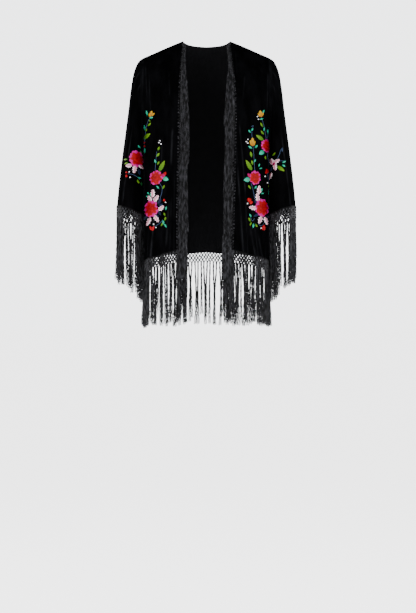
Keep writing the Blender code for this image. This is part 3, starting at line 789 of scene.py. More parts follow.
TASSEL_LENGTH_LIMITS = (0.150, 0.172)
TASSEL_SHARES = np.linspace(0.0, 1.0, 14)
TASSEL_LEAN = 0.0028
CLINGING_SHARE = 0.6
CLING_REACH = (0.30, 0.48)
CLING_EASE = 1.7
LEAN_BEND = 1.6
# As shares of the usual length
LENGTH_SPREAD = 0.03
LONGEST = 1.02
SHORT_SHARE = 0.2
SHORT_CUT = 0.14
CUFF_TASSEL_LENGTH = 0.172
CUFF_INNER_EXTRA = 0.030
CUFF_MIDDLE_X = 0.209
CUFF_EASE_WIDTH = 0.070
BRAID_ROWS = 5
BRAID_HEIGHT = 0.0055
BRAID_SEAT = 0.55
BRAID_BULGE = 0.0011
BRAID_ROUNDING = 0.15
BRAID_THICKNESS = 0.0009


def silk_finish():
    """Dull black silk yarn, in streaks from painted shade to painted glints down its length."""
    material, tree, shader = principled(
        "fringe_silk", Roughness=0.60, Specular_IOR_Level=0.12, Sheen_Weight=0.012,
        Sheen_Roughness=0.5, Sheen_Tint=(0.75, 0.76, 0.80, 1.0),
    )
    place = wire(tree, "ShaderNodeTexCoord").outputs["Object"]
    hanging = mapped(tree, place, Scale=(1.0, 1.0, 0.30))
    # Painted shade and glints in streaks down the strands
    painted_streaks = spread(tree, noise(tree, hanging, 230.0, 2.0), 0.42, 0.68)
    dye(tree, shader, shaded(tree, painted_streaks, SILK_PAINTED_SHADE, SILK_PAINTED_GLINT))
    return material


def node_group(name, inputs):
    """A geometry node group with named inputs, its input and output nodes ready."""
    group = bpy.data.node_groups.new(name, "GeometryNodeTree")
    group.interface.new_socket("Geometry", in_out="INPUT", socket_type="NodeSocketGeometry")
    for label, kind, value in inputs:
        socket = group.interface.new_socket(label, in_out="INPUT", socket_type=kind)
        socket.default_value = value
    group.interface.new_socket("Geometry", in_out="OUTPUT", socket_type="NodeSocketGeometry")
    return group, wire(group, "NodeGroupInput").outputs


def sum_of(tree, kind, operation, *values):
    """One node of a kind of sum on the values, as its first output."""
    return wire(tree, kind, dict(enumerate(values)), operation=operation).outputs[0]


def math_of(tree, operation, *values):
    """One Math node on the values, as its output."""
    return sum_of(tree, "ShaderNodeMath", operation, *values)


def vector_of(tree, operation, *values):
    """One Vector Math node on the values, as its output."""
    return sum_of(tree, "ShaderNodeVectorMath", operation, *values)


def scaled(tree, vector, amount):
    """A vector times a number."""
    node = wire(tree, "ShaderNodeVectorMath", {"Vector": vector, "Scale": amount}, operation="SCALE")
    return node.outputs["Vector"]


def end_group(group, geometry, material):
    """Finish a group with realized instances and its material."""
    real = wire(group, "GeometryNodeRealizeInstances", {"Geometry": geometry})
    dressed = wire(group, "GeometryNodeSetMaterial", {"Geometry": real.outputs["Geometry"]})
    dressed.inputs["Material"].default_value = material
    wire(group, "NodeGroupOutput", {"Geometry": dressed.outputs["Geometry"]})


def tassel_group(name, material):
    """Spins each guide line into a tassel of crimped threads that fray towards their ends."""
    group, given = node_group(name, [
        ("Points", "NodeSocketInt", 30),
        ("Threads", "NodeSocketInt", 7),
        ("Thread radius", "NodeSocketFloat", 0.00095),
        ("Bundle", "NodeSocketFloat", 0.0012),
        ("Fray", "NodeSocketFloat", 0.0024),
        ("Fray waves", "NodeSocketFloat", 26.0),
        ("Crimp", "NodeSocketFloat", 0.0011),
        ("Crimp waves", "NodeSocketFloat", 170.0),
        ("Twist", "NodeSocketFloat", 150.0),
        ("Taper", "NodeSocketFloat", 0.45),
        ("Seed", "NodeSocketFloat", 1.0),
    ])
    curve = wire(group, "GeometryNodeMeshToCurve", {"Mesh": given["Geometry"]}).outputs[0]
    even = wire(group, "GeometryNodeResampleCurve", {
        "Curve": curve, "Count": given["Points"],
    }).outputs[0]
    copies = wire(group, "GeometryNodeDuplicateElements", {
        "Geometry": even, "Amount": given["Threads"],
    }, domain="SPLINE")
    ply = copies.outputs["Duplicate Index"]
    along = wire(group, "GeometryNodeSplineParameter").outputs
    factor = along["Factor"]
    position = wire(group, "GeometryNodeInputPosition").outputs[0]

    part_turn = math_of(group, "DIVIDE", 2 * math.pi, given["Threads"])
    start = math_of(group, "MULTIPLY", ply, part_turn)
    twist = math_of(group, "MULTIPLY", along["Length"], given["Twist"])
    angle = math_of(group, "ADD", start, twist)
    fray = math_of(group, "MULTIPLY", given["Fray"], math_of(group, "POWER", factor, 2.0))
    radius = math_of(group, "ADD", given["Bundle"], fray)
    x = math_of(group, "MULTIPLY", math_of(group, "COSINE", angle), radius)
    y = math_of(group, "MULTIPLY", math_of(group, "SINE", angle), radius)
    spun = wire(group, "ShaderNodeCombineXYZ", {"X": x, "Y": y}).outputs[0]

    own = math_of(group, "ADD", math_of(group, "MULTIPLY", ply, THREADS_APART), given["Seed"])
    bends = []
    for waves, reach in ((given["Crimp waves"], given["Crimp"]), (given["Fray waves"], fray)):
        wander = wire(group, "ShaderNodeTexNoise", {
            "Vector": position, "W": own, "Scale": waves, "Detail": 1.0,
        }, noise_dimensions="4D").outputs["Color"]
        centred = vector_of(group, "SUBTRACT", wander, (0.5, 0.5, 0.5))
        bends.append(scaled(group, centred, math_of(group, "MULTIPLY", reach, WANDER_GAIN)))
    offset = vector_of(group, "ADD", spun, vector_of(group, "ADD", *bends))
    moved = wire(group, "GeometryNodeSetPosition", {
        "Geometry": copies.outputs["Geometry"], "Offset": offset,
    }).outputs[0]

    ring = wire(group, "GeometryNodeCurvePrimitiveCircle", {
        "Resolution": 3, "Radius": given["Thread radius"],
    }).outputs[0]
    thin = math_of(group, "MULTIPLY", math_of(group, "POWER", factor, 4.0), given["Taper"])
    tube = wire(group, "GeometryNodeCurveToMesh", {
        "Curve": moved, "Profile Curve": ring, "Fill Caps": True,
        "Scale": math_of(group, "SUBTRACT", 1.0, thin),
    }).outputs[0]
    soft = wire(group, "GeometryNodeSetShadeSmooth", {"Geometry": tube}).outputs[0]
    end_group(group, soft, material)
    return group


def net_group(name, material):
    """Turns edges into cords, and the points where they meet into knots."""
    group, given = node_group(name, [
        ("Cord radius", "NodeSocketFloat", CORD_RADIUS),
        ("Knot radius", "NodeSocketFloat", KNOT_RADIUS),
        ("Seed", "NodeSocketInt", 1),
    ])
    curve = wire(group, "GeometryNodeMeshToCurve", {"Mesh": given["Geometry"]}).outputs[0]
    ring = wire(group, "GeometryNodeCurvePrimitiveCircle", {
        "Resolution": 5, "Radius": given["Cord radius"],
    }).outputs[0]
    cords = wire(group, "GeometryNodeCurveToMesh", {
        "Curve": curve, "Profile Curve": ring, "Fill Caps": True,
    }).outputs[0]
    ball = wire(group, "GeometryNodeMeshIcoSphere", {
        "Radius": given["Knot radius"], "Subdivisions": 2,
    }).outputs[0]
    sizes = wire(group, "FunctionNodeRandomValue", {
        "Min": SMALL_KNOT, "Max": LARGE_KNOT, "Seed": given["Seed"],
    }, data_type="FLOAT_VECTOR").outputs["Value"]
    knots = wire(group, "GeometryNodeInstanceOnPoints", {
        "Points": given["Geometry"], "Instance": ball, "Scale": sizes,
    }).outputs[0]
    joined = wire(group, "GeometryNodeJoinGeometry")
    group.links.new(cords, joined.inputs[0])
    group.links.new(knots, joined.inputs[0])
    soft = wire(group, "GeometryNodeSetShadeSmooth", {"Geometry": joined.outputs[0]}).outputs[0]
    end_group(group, soft, material)
    return group


def braid_finish():
    """The braid's silk, in slanted plaits along its length."""
    material, tree, shader = principled(
        "braid_silk", Roughness=0.7, Specular_IOR_Level=0.04, Sheen_Weight=0.004,
        Sheen_Roughness=0.4,
    )
    cut = wire(tree, "ShaderNodeUVMap").outputs["UV"]
    slanted = mapped(tree, cut, Rotation=(0.0, 0.0, math.radians(50)))
    plaits = wire(tree, "ShaderNodeTexWave", {"Vector": slanted, "Scale": 130.0}).outputs["Fac"]
    dye(tree, shader, shaded(tree, plaits, BRAID_DARK, BRAID_LIGHT))
    raise_grain(tree, shader, plaits, 0.6, 0.0005)
    return material


silk = silk_finish()
braid_silk = braid_finish()
tassels_of_silk = tassel_group("crimped_tassels", silk)
net_of_silk = net_group("knotted_net", silk)


def grown(name, points, edges, group, **values):
    """A plain mesh object that a node group makes from guide points and edges."""
    guide = bpy.data.meshes.new(name)
    guide.from_pydata([tuple(point) for point in points], edges, [])
    made = bpy.data.objects.new(name, guide)
    bpy.context.scene.collection.objects.link(made)
    modifier = made.modifiers.new("grow", "NODES")
    modifier.node_group = group
    for item in group.interface.items_tree:
        label = item.name.lower().replace(" ", "_")
        if item.item_type == "SOCKET" and item.in_out == "INPUT" and label in values:
            modifier[item.identifier] = values[label]
    view = bpy.context.evaluated_depsgraph_get()
    mesh = bpy.data.meshes.new_from_object(made.evaluated_get(view), depsgraph=view)
    made.modifiers.clear()
    made.data = mesh
    mesh.name = name
    bpy.data.meshes.remove(guide)
    return made


Trim = namedtuple("Trim", "line outward walked closed")


def trim_along(line, closed=False):
    """A line that a trim is sewn on, with the way walked at each point and the way it faces."""
    line = np.array(line)
    if closed:
        line = np.vstack([line, line[:1]])
    walked = np.concatenate([[0.0], np.cumsum(np.linalg.norm(np.diff(line, axis=0), axis=1))])
    along = np.gradient(line, axis=0)
    if closed:
        along[0] = along[-1] = line[1] - line[-2]
    outward = np.stack([along[:, 1], -along[:, 0], np.zeros(len(line))], axis=1)
    outward /= np.maximum(np.linalg.norm(outward, axis=1, keepdims=True), 1e-9)
    away = ((line - line.mean(axis=0)) * outward).sum(axis=1, keepdims=True)
    return Trim(line, np.where(away < 0, -outward, outward), walked, closed)


def spot(trim, distance, out=0.0, down=0.0):
    """A point at a distance along a trim, moved out of the cloth and down."""
    point = np.array([np.interp(distance, trim.walked, trim.line[:, n]) for n in range(3)])
    facing = np.array([np.interp(distance, trim.walked, trim.outward[:, n]) for n in range(3)])
    return point + unit(facing) * out - np.array([0.0, 0.0, down])


def knotted(trim, pitch, rows, knot_at):
    """Guide points and edges of a net of diamonds along a trim, and the knots that end it.

    Every other row is set half a mesh along. A knot's place comes from its row and its distance.
    """
    count = int(round(trim.walked[-1] / pitch))
    step = trim.walked[-1] / count
    points = []
    edges = []
    before = None
    for row in range(rows + 1):
        half = row % 2
        here = []
        for k in range(count if (trim.closed or half) else count + 1):
            here.append(len(points))
            points.append(knot_at(row, (k + 0.5 * half) * step))
        if before is not None:
            for k in range(len(here)):
                for n in ((k, k + 1) if half else (k - 1, k)):
                    if trim.closed:
                        n %= len(before)
                    if 0 <= n < len(before):
                        edges.append((before[n], here[k]))
        before = here
    return points, edges, [points[k] for k in before]


def net_along(trim, rng):
    """The net that hangs below a trim's line."""
    def knot(row, distance):
        """A knot's place below the line."""
        shift = rng.normal(0.0, NET_UNEVENNESS, 2) * (row > 0)
        down = NET_TOP + row * NET_ROW_DROP + shift[1]
        return spot(trim, distance + shift[0], -NET_BEHIND_CLOTH, down)
    return knotted(trim, PITCH, NET_ROWS, knot)


def add_strand(points, edges, places):
    """Add one tassel's guide line through its places."""
    first = len(points)
    points.extend(places)
    edges.extend((k, k + 1) for k in range(first, len(points) - 1))


def hanging_guides(feet, lengths, rng):
    """Guide lines that hang from the feet.

    Each leans and bows a little its own way, and many cling to the next one.
    """
    points = []
    edges = []
    clings = np.zeros((len(feet), 2))
    k = 0
    while k + 1 < len(feet):
        if rng.random() < CLINGING_SHARE:
            half = (feet[k + 1] - feet[k])[:2] * rng.uniform(*CLING_REACH)
            clings[k] = half
            clings[k + 1] = -half
            k += 1
        k += 1
    for foot, length, cling in zip(feet, lengths, clings):
        away = rng.normal(0.0, TASSEL_LEAN, 2)
        bow = rng.normal(0.0, TASSEL_LEAN / 3, 2)
        places = []
        for share in TASSEL_SHARES:
            side = cling * ramp(share * CLING_EASE) + away * share**LEAN_BEND
            side += bow * math.sin(math.pi * share)
            places.append(foot + np.array([*side, -length * share]))
        add_strand(points, edges, places)
    return points, edges


def cut_length(rng):
    """One tassel's length as a share of the rest: most are nearly even, and some are cut short."""
    return min(LONGEST, rng.normal(1.0, LENGTH_SPREAD) - (rng.random() < SHORT_SHARE) * SHORT_CUT)


def hem_length(foot):
    """Tassel length along the hem, whose tassels end nearly level."""
    return min(max(FRINGE_END_DROP + foot[2], TASSEL_LENGTH_LIMITS[0]), TASSEL_LENGTH_LIMITS[1])


def sewn_fringe(name, node, trim, length_at, seed):
    """A knotted net with its tassels, along a line of cloth."""
    rng = np.random.default_rng(seed)
    points, edges, feet = net_along(trim, rng)
    net = grown(name + "_net", points, edges, net_of_silk, seed=seed)
    lengths = [length_at(foot) * cut_length(rng) for foot in feet]
    guides, joins = hanging_guides(feet, lengths, rng)
    tassels = grown(name + "_tassels", guides, joins, tassels_of_silk, seed=float(seed))
    for piece in (net, tassels):
        stand_in(piece, node)


def braid(name, node, trim):
    """The flat braid that covers the seam between the cloth and the net."""
    grid = np.empty((BRAID_ROWS, len(trim.line), 3))
    normals = np.empty_like(grid)
    for k, walked in enumerate(trim.walked):
        facing = spot(trim, walked, 1.0) - spot(trim, walked)
        for row in range(BRAID_ROWS):
            share = row / (BRAID_ROWS - 1)
            over = BRAID_ROUNDING + (1 - 2 * BRAID_ROUNDING) * share
            bulge = BRAID_BULGE * math.sin(math.pi * over) + TOUCH_GAP
            grid[row, k] = spot(trim, walked, bulge, BRAID_HEIGHT * (share - BRAID_SEAT))
            normals[row, k] = facing
    if trim.closed:
        grid = grid[:, :-1]
        normals = normals[:, :-1]
    strip = cloth_shell(name, grid, normals, trim.closed, braid_silk, BRAID_THICKNESS)
    stand_in(strip, node)


hem = trim_along(np.concatenate([
    grids["front_right"][-1], grids["back"][-1][1:], grids["front_left"][-1][-2::-1],
]))
sewn_fringe("hem", "fringe_hem", hem, hem_length, 11)
braid("hem_braid", "fringe_hem", hem)


def cuff_length(foot):
    """Tassel length round a cuff, longer on the side next to the body."""
    inward = 0.5 - (abs(foot[0]) - CUFF_MIDDLE_X) / CUFF_EASE_WIDTH
    return CUFF_TASSEL_LENGTH + CUFF_INNER_EXTRA * ramp(inward)


for name, seed in (("right", 19), ("left", 21)):
    cuff = trim_along(grids["sleeve_" + name][-1], closed=True)
    sewn_fringe("cuff_" + name, "fringe_cuff_" + name, cuff, cuff_length, seed)
    braid("cuff_%s_braid" % name, "fringe_cuff_" + name, cuff)

# Front fringe
# The same trim sewn up each free front edge. Its net lies sideways and its tassels drop from the
# outer knots over one another, which makes a dense band down the front.
BAND_PITCH = 0.0088
BAND_GAP = 0.0006
BAND_NET_COLUMNS = 3
BAND_NET_WIDTH = 0.8
BAND_SAG = 0.012
BAND_UNEVENNESS = 0.0014
BAND_LOOSENESS = 0.0009
BAND_LAYER = 0.0005
BAND_THICKNESS = 0.005
BAND_CORD_RADIUS = 0.0010
BAND_KNOT_RADIUS = 0.0017
NECK_DROP = 0.02
BAND_TASSEL_LENGTH = 0.158
BAND_TASSEL_SHARES = (0.95, 1.03)
BAND_LANES = (0.24, 1.0)
BAND_LEAN = 0.0018
LANE_EASE = 6
LAYER_EASE = 5
CORNER_TASSELS = 11
CORNER_TASSEL_LENGTH = 0.193
CORNER_TASSEL_SHARES = (0.90, 1.02)
CORNER_LEAN = 0.0030
CORNER_LAYER = 0.0015
CORNER_LAYERS = 3


def band_net(side, edge, rng):
    """The net of a front edge, which lies sideways and sags a little."""
    def knot(column, distance):
        """A knot's place out from the edge."""
        root = spot(edge, distance)
        across = column / BAND_NET_COLUMNS
        width = read(FRONT_EDGE, "band", -root[2]) * across * BAND_NET_WIDTH
        drop = -root[2] + BAND_SAG * across**1.5 + rng.normal(0.0, BAND_UNEVENNESS)
        loose = abs(rng.normal(0.0, BAND_LOOSENESS))
        forward = read(FRONT_EDGE, "forward", drop) if drop > NECK_DROP else -root[1]
        x = root[0] - side * (BAND_GAP + width + loose)
        return np.array([x, -forward - BAND_LAYER * column, -drop])
    return knotted(edge, BAND_PITCH, BAND_NET_COLUMNS, knot)


def band_strand(side, start, rng):
    """One tassel of the band, which falls from its knot into a lane of its own."""
    column_of = "left_x" if side > 0 else "right_x"
    lane = rng.uniform(*BAND_LANES)
    layer = rng.uniform(BAND_LAYER, BAND_THICKNESS)
    length = BAND_TASSEL_LENGTH * rng.uniform(*BAND_TASSEL_SHARES)
    lean = rng.normal(0.0, BAND_LEAN)
    places = []
    for share in TASSEL_SHARES:
        drop = -start[2] + length * share
        out = read(FRONT_EDGE, column_of, drop) - BAND_GAP - read(FRONT_EDGE, "band", drop) * lane
        out += (abs(start[0]) - out) * (1 - ramp(share * LANE_EASE)) + lean * share
        forward = read(FRONT_EDGE, "forward", drop) + layer * ramp(share * LAYER_EASE)
        places.append(np.array([side * out, -forward, -drop]))
    return places


def corner_strand(side, corner, k, rng):
    """One of the longer tassels that hang from the corner at the foot of a front edge."""
    across = BAND_GAP + read(FRONT_EDGE, "band", EDGE_HEM_DROP) * (k + 0.5) / CORNER_TASSELS
    lean = rng.normal(0.0, CORNER_LEAN, 2)
    length = CORNER_TASSEL_LENGTH * rng.uniform(*CORNER_TASSEL_SHARES)
    top = corner - np.array([side * across, CORNER_LAYER * (1 + k % CORNER_LAYERS), 0.0])
    places = []
    for share in TASSEL_SHARES:
        places.append(top + np.array([*(lean * share**1.5), -length * share]))
    return places


def band_fringe(side, name, seed):
    """The fringe of one free front edge: its net and its tassels."""
    rng = np.random.default_rng(seed)
    edge = trim_along(grids["front_" + name][:, 0])
    points, edges, ends = band_net(side, edge, rng)
    net = grown(
        "front_%s_net" % name, points, edges, net_of_silk, seed=seed,
        cord_radius=BAND_CORD_RADIUS, knot_radius=BAND_KNOT_RADIUS,
    )
    guides = []
    joins = []
    for start in ends:
        add_strand(guides, joins, band_strand(side, start, rng))
    for k in range(CORNER_TASSELS):
        add_strand(guides, joins, corner_strand(side, edge.line[-1], k, rng))
    tassels = grown(
        "front_%s_tassels" % name, guides, joins, tassels_of_silk, seed=float(seed), threads=6,
        crimp=0.0009, fray=0.0014,
    )
    for piece in (net, tassels):
        stand_in(piece, "fringe_front_" + name)


band_fringe(-1, "right", 31)
band_fringe(1, "left", 32)

# Embroidery
# Sprays of roses, buds and leaves in satin stitch with knotted white dots, worked by hand in
# coloured silks down each front and across onto each sleeve.
STITCH_ROWS = 17
STITCH_COLUMNS = 7
STITCH_RISE = 0.0011
STITCH_SUNK = 0.0006
STITCH_GAP = 0.0002
FIRST_STITCH = 0.01
SPRAY_LIFT = 0.0001
UNEVEN_TONE = (0.88, 1.08)
VEIN_DEPTH = 0.0004
VEIN_SHARE = 0.18
STEM_RADIUS = 0.0007
STEM_SIDES = 6
STEM_STEPS = 7
STEM_AHEAD = 0.05
STEM_SEAT = 0.35
STEM_UNEVENNESS = 0.15
STEM_WAVES = 2.2
DOT_RADIUS = 0.0016
DOT_RINGS = 6
DOT_SIDES = 8
BEFORE_JACKET = -1.0

# In millimetres: out from the middle and below the shoulders, as seen from the front. A turn is
# in degrees, from the tip up towards the right of the picture. A rose has no turn or silk.
Motif = namedtuple("Motif", "kind x drop length width turn silk", defaults=(0, None))
RIGHT_SPRAY = [
    Motif("leaf", -128, 306, 11, 6, 20, "green"),
    Motif("leaf", -130, 323, 13, 7, 40, "green"),
    Motif("leaf", -137, 340, 12, 6, -20, "teal"),
    Motif("leaf", -129, 345, 11, 6, 30, "green"),
    Motif("serrated", -119, 353, 32, 12, 28, "green"),
    Motif("rose", -135, 384, 40, 38),
    Motif("petal", -116, 379, 13, 11, 60, "magenta"),
    Motif("petal", -111, 374, 11, 8, 30, "red"),
    Motif("serrated", -109, 388, 16, 13, 110, "teal"),
    Motif("leaf", -130, 410, 12, 5, -40, "teal"),
    Motif("leaf", -115, 410, 13, 6, 30, "green"),
    Motif("leaf", -157, 424, 9, 5, -30, "teal"),
    Motif("leaf", -150, 429, 9, 4, 20, "teal"),
    Motif("leaf", -160, 432, 9, 4, -70, "teal"),
    Motif("blush", -144, 425, 22, 13, 0, "blush"),
    Motif("blush", -135, 440, 22, 13, 35, "blush"),
    Motif("blush", -153, 439, 19, 13, -30, "blush"),
    Motif("rose", -149, 467, 48, 40),
    Motif("leaf", -125, 448, 19, 8, 20, "navy"),
    Motif("leaf", -122, 458, 13, 7, 60, "navy"),
    Motif("leaf", -168, 490, 24, 10, -112, "navy"),
    Motif("leaf", -125, 480, 16, 7, -30, "navy"),
    Motif("leaf", -131, 487, 13, 6, -50, "navy"),
    Motif("blush", -121, 466, 19, 13, 50, "blush"),
    Motif("blush", -156, 501, 24, 13, -150, "blush"),
    Motif("blush", -134, 494, 22, 13, 150, "blush"),
    Motif("petal", -113, 445, 7, 6, 0, "red"),
    Motif("petal", -149, 519, 13, 7, -32, "red"),
    Motif("petal", -143, 520, 13, 7, 22, "red"),
    Motif("leaf", -108, 467, 11, 5, 10, "teal"),
    Motif("leaf", -115, 505, 13, 6, -10, "teal"),
    Motif("leaf", -109, 514, 12, 5, -30, "teal"),
    Motif("leaf", -112, 483, 11, 5, -20, "green"),
    Motif("leaf", -110, 495, 12, 6, 20, "green"),
    Motif("leaf", -119, 510, 11, 5, 30, "green"),
    Motif("petal", -149, 209, 15, 9, 15, "orange"),
    Motif("petal", -144, 212, 11, 7, 60, "orange"),
    Motif("petal", -153, 213, 10, 6, -20, "orange"),
    Motif("leaf", -161, 206, 15, 5, -10, "teal"),
    Motif("leaf", -149, 220, 12, 6, 90, "teal"),
    Motif("leaf", -153, 228, 8, 4, -30, "green"),
    Motif("leaf", -154, 238, 12, 6, 50, "green"),
    Motif("leaf", -168, 244, 17, 6, -8, "teal"),
    Motif("leaf", -163, 252, 9, 5, 20, "green"),
    Motif("serrated", -161, 268, 22, 12, 65, "green"),
    Motif("petal", -169, 284, 6, 5, 0, "red"),
    Motif("petal", -169, 293, 6, 5, 0, "red"),
    Motif("leaf", -168, 306, 15, 6, 0, "teal"),
    Motif("leaf", -182, 297, 10, 5, -40, "teal"),
    Motif("leaf", -178, 312, 13, 6, 0, "green_dark"),
    Motif("rose", -190, 330, 46, 38),
    Motif("blush", -210, 349, 17, 12, -90, "blush"),
    Motif("blush", -194, 359, 22, 13, -170, "blush"),
    Motif("blush", -177, 350, 16, 11, 120, "blush"),
    Motif("leaf", -182, 364, 19, 8, 175, "navy"),
    Motif("leaf", -219, 331, 12, 5, -80, "green"),
    Motif("leaf", -217, 342, 11, 5, -110, "green"),
    Motif("leaf", -185, 391, 12, 6, 160, "green"),
    Motif("leaf", -176, 396, 13, 6, 170, "green_dark"),
    Motif("leaf", -182, 381, 11, 5, 100, "teal"),
    Motif("petal", -216, 367, 5, 5, 0, "red"),
    Motif("petal", -216, 377, 7, 6, 0, "red"),
]
RIGHT_DOTS = [
    (-124, 285), (-121, 294), (-127, 290), (-109, 451), (-141, 509), (-135, 518),
    (-208, 366), (-206, 381),
]
RIGHT_STEMS = [
    [(-133, 314), (-135, 335), (-137, 362), (-135, 378)],
    [(-125, 400), (-119, 410), (-119, 424), (-125, 443), (-130, 453)],
    [(-141, 518), (-130, 510), (-125, 507), (-116, 497)],
    [(-150, 219), (-157, 228), (-162, 244), (-165, 262), (-168, 284), (-171, 308)],
    [(-212, 371), (-200, 373), (-189, 378), (-181, 386)],
]
LEFT_SPRAY = [
    Motif("leaf", 116, 260, 10, 5, -40, "teal"),
    Motif("leaf", 123, 255, 10, 5, 30, "teal"),
    Motif("petal", 124, 288, 23, 11, 0, "orange"),
    Motif("petal", 120, 291, 15, 7, -20, "orange"),
    Motif("petal", 128, 292, 15, 7, 25, "orange"),
    Motif("leaf", 118, 303, 13, 6, -60, "teal"),
    Motif("leaf", 134, 300, 12, 6, 40, "teal"),
    Motif("leaf", 120, 322, 16, 7, -10, "green"),
    Motif("leaf", 123, 344, 13, 6, -15, "green"),
    Motif("leaf", 130, 339, 10, 5, 25, "teal"),
    Motif("serrated", 114, 351, 32, 12, -30, "green"),
    Motif("serrated", 109, 390, 17, 14, -100, "teal"),
    Motif("leaf", 116, 410, 13, 6, -35, "green"),
    Motif("leaf", 132, 410, 10, 5, 40, "teal"),
    Motif("leaf", 142, 350, 10, 4, 20, "teal"),
    Motif("leaf", 146, 358, 9, 4, 70, "teal"),
    Motif("leaf", 149, 416, 11, 5, 20, "teal"),
    Motif("leaf", 151, 425, 10, 4, 70, "teal"),
    Motif("rose", 130, 384, 40, 32),
    Motif("petal", 115, 378, 12, 9, -40, "magenta"),
    Motif("blush", 142, 416, 24, 13, 5, "blush"),
    Motif("blush", 138, 437, 24, 13, -10, "blush"),
    Motif("blush", 125, 465, 22, 13, -80, "blush"),
    Motif("blush", 145, 497, 22, 13, -160, "blush"),
    Motif("blush", 162, 498, 22, 13, 160, "blush"),
    Motif("rose", 150, 464, 51, 38),
    Motif("petal", 115, 444, 12, 11, -40, "red"),
    Motif("petal", 120, 451, 10, 8, 60, "red"),
    Motif("petal", 155, 517, 15, 10, 10, "red"),
    Motif("leaf", 132, 449, 13, 6, -30, "navy"),
    Motif("leaf", 135, 484, 19, 8, -120, "navy"),
    Motif("leaf", 169, 486, 16, 8, 100, "navy"),
    Motif("leaf", 118, 486, 11, 5, -30, "teal"),
    Motif("leaf", 116, 497, 13, 6, -20, "green"),
    Motif("leaf", 119, 508, 12, 5, -160, "green"),
    Motif("leaf", 126, 513, 13, 6, -175, "teal"),
    Motif("leaf", 134, 512, 11, 5, 150, "green"),
    Motif("petal", 146, 210, 18, 11, -5, "orange"),
    Motif("petal", 151, 211, 13, 7, 30, "orange"),
    Motif("petal", 143, 214, 11, 6, -50, "orange"),
    Motif("leaf", 154, 204, 13, 5, 20, "teal"),
    Motif("leaf", 149, 224, 11, 5, -110, "teal"),
    Motif("leaf", 149, 240, 13, 6, -30, "green"),
    Motif("leaf", 151, 261, 13, 6, -40, "green"),
    Motif("leaf", 156, 251, 11, 5, 10, "teal"),
    Motif("serrated", 144, 275, 24, 11, -60, "green"),
    Motif("leaf", 167, 254, 13, 5, 0, "teal"),
    Motif("rose", 163, 295, 38, 30),
    Motif("serrated", 149, 315, 17, 13, -130, "teal"),
    Motif("leaf", 160, 327, 10, 5, -10, "green"),
    Motif("blush", 178, 336, 19, 12, -15, "blush"),
    Motif("blush", 190, 337, 19, 12, 60, "blush"),
    Motif("blush", 186, 352, 19, 12, 170, "blush"),
    Motif("petal", 184, 343, 11, 8, 0, "magenta"),
    Motif("leaf", 183, 317, 11, 5, 40, "green"),
    Motif("serrated", 201, 357, 24, 11, 125, "green"),
    Motif("leaf", 210, 339, 12, 5, 60, "teal"),
    Motif("leaf", 209, 349, 10, 5, 120, "teal"),
    Motif("leaf", 205, 307, 11, 4, 0, "slate"),
    Motif("leaf", 175, 358, 17, 7, 20, "navy"),
    Motif("petal", 165, 362, 11, 9, -20, "red"),
    Motif("petal", 162, 367, 7, 6, 0, "red"),
    Motif("blush", 174, 375, 19, 11, 20, "blush"),
    Motif("leaf", 171, 401, 13, 6, 5, "green"),
    Motif("leaf", 171, 417, 13, 5, 10, "teal"),
]
LEFT_DOTS = [
    (111, 282), (111, 292), (107, 288), (110, 454), (147, 519), (137, 219),
    (140, 226), (158, 378), (165, 394),
]
LEFT_STEMS = [
    [(121, 247), (126, 244), (124, 252), (122, 262), (123, 279)],
    [(125, 297), (127, 319), (128, 335), (130, 365)],
    [(120, 400), (125, 416), (130, 440), (136, 453)],
    [(139, 507), (147, 513), (155, 505), (158, 494)],
    [(118, 491), (123, 500), (129, 494)],
    [(147, 217), (154, 238), (158, 257), (162, 276)],
    [(168, 244), (172, 241), (169, 252), (165, 276)],
    [(165, 311), (167, 327), (171, 343), (174, 357)],
    [(192, 330), (198, 318), (201, 307), (207, 300)],
    [(192, 337), (201, 336), (211, 337)],
    [(166, 367), (168, 381), (170, 394), (171, 413)],
]
# Each silk's colour at the root of a stitch and at its tip
SILKS = {
    "green": ((0.025, 0.10, 0.002), (0.10, 0.20, 0.006)),
    "green_dark": ((0.003, 0.035, 0.006), (0.008, 0.08, 0.018)),
    "teal": ((0.002, 0.15, 0.085), (0.015, 0.38, 0.23)),
    "navy": ((0.002, 0.005, 0.016), (0.006, 0.015, 0.042)),
    "slate": ((0.010, 0.020, 0.045), (0.025, 0.045, 0.09)),
    "orange": ((0.22, 0.07, 0.001), (0.46, 0.25, 0.010)),
    "red": ((0.18, 0.000, 0.001), (0.37, 0.000, 0.004)),
    "magenta": ((0.15, 0.000, 0.015), (0.30, 0.002, 0.09)),
    "blush": ((0.46, 0.10, 0.18), (0.98, 0.82, 0.87)),
    "rose_rim": ((0.22, 0.000, 0.05), (0.42, 0.004, 0.20)),
    "rose_heart": ((0.10, 0.000, 0.001), (0.28, 0.000, 0.002)),
    "white": ((0.70, 0.70, 0.72), (0.90, 0.90, 0.92)),
}
Ply = namedtuple("Ply", "petals place length width lift silk")
# Places and sizes as shares of the rose's width and length
ROSE_PLIES = [
    Ply(13, 0.345, 0.30, 0.31, 0.0002, "rose_rim"),
    Ply(9, 0.230, 0.42, 0.35, 0.0008, "rose_heart"),
    Ply(5, 0.090, 0.26, 0.22, 0.0014, "rose_heart"),
]
PETAL_SHIFT = 0.3
PETAL_REACHES = (0.90, 1.06)
PETAL_SIZES = (0.85, 1.15)
PETAL_OVERLAP = 0.0003


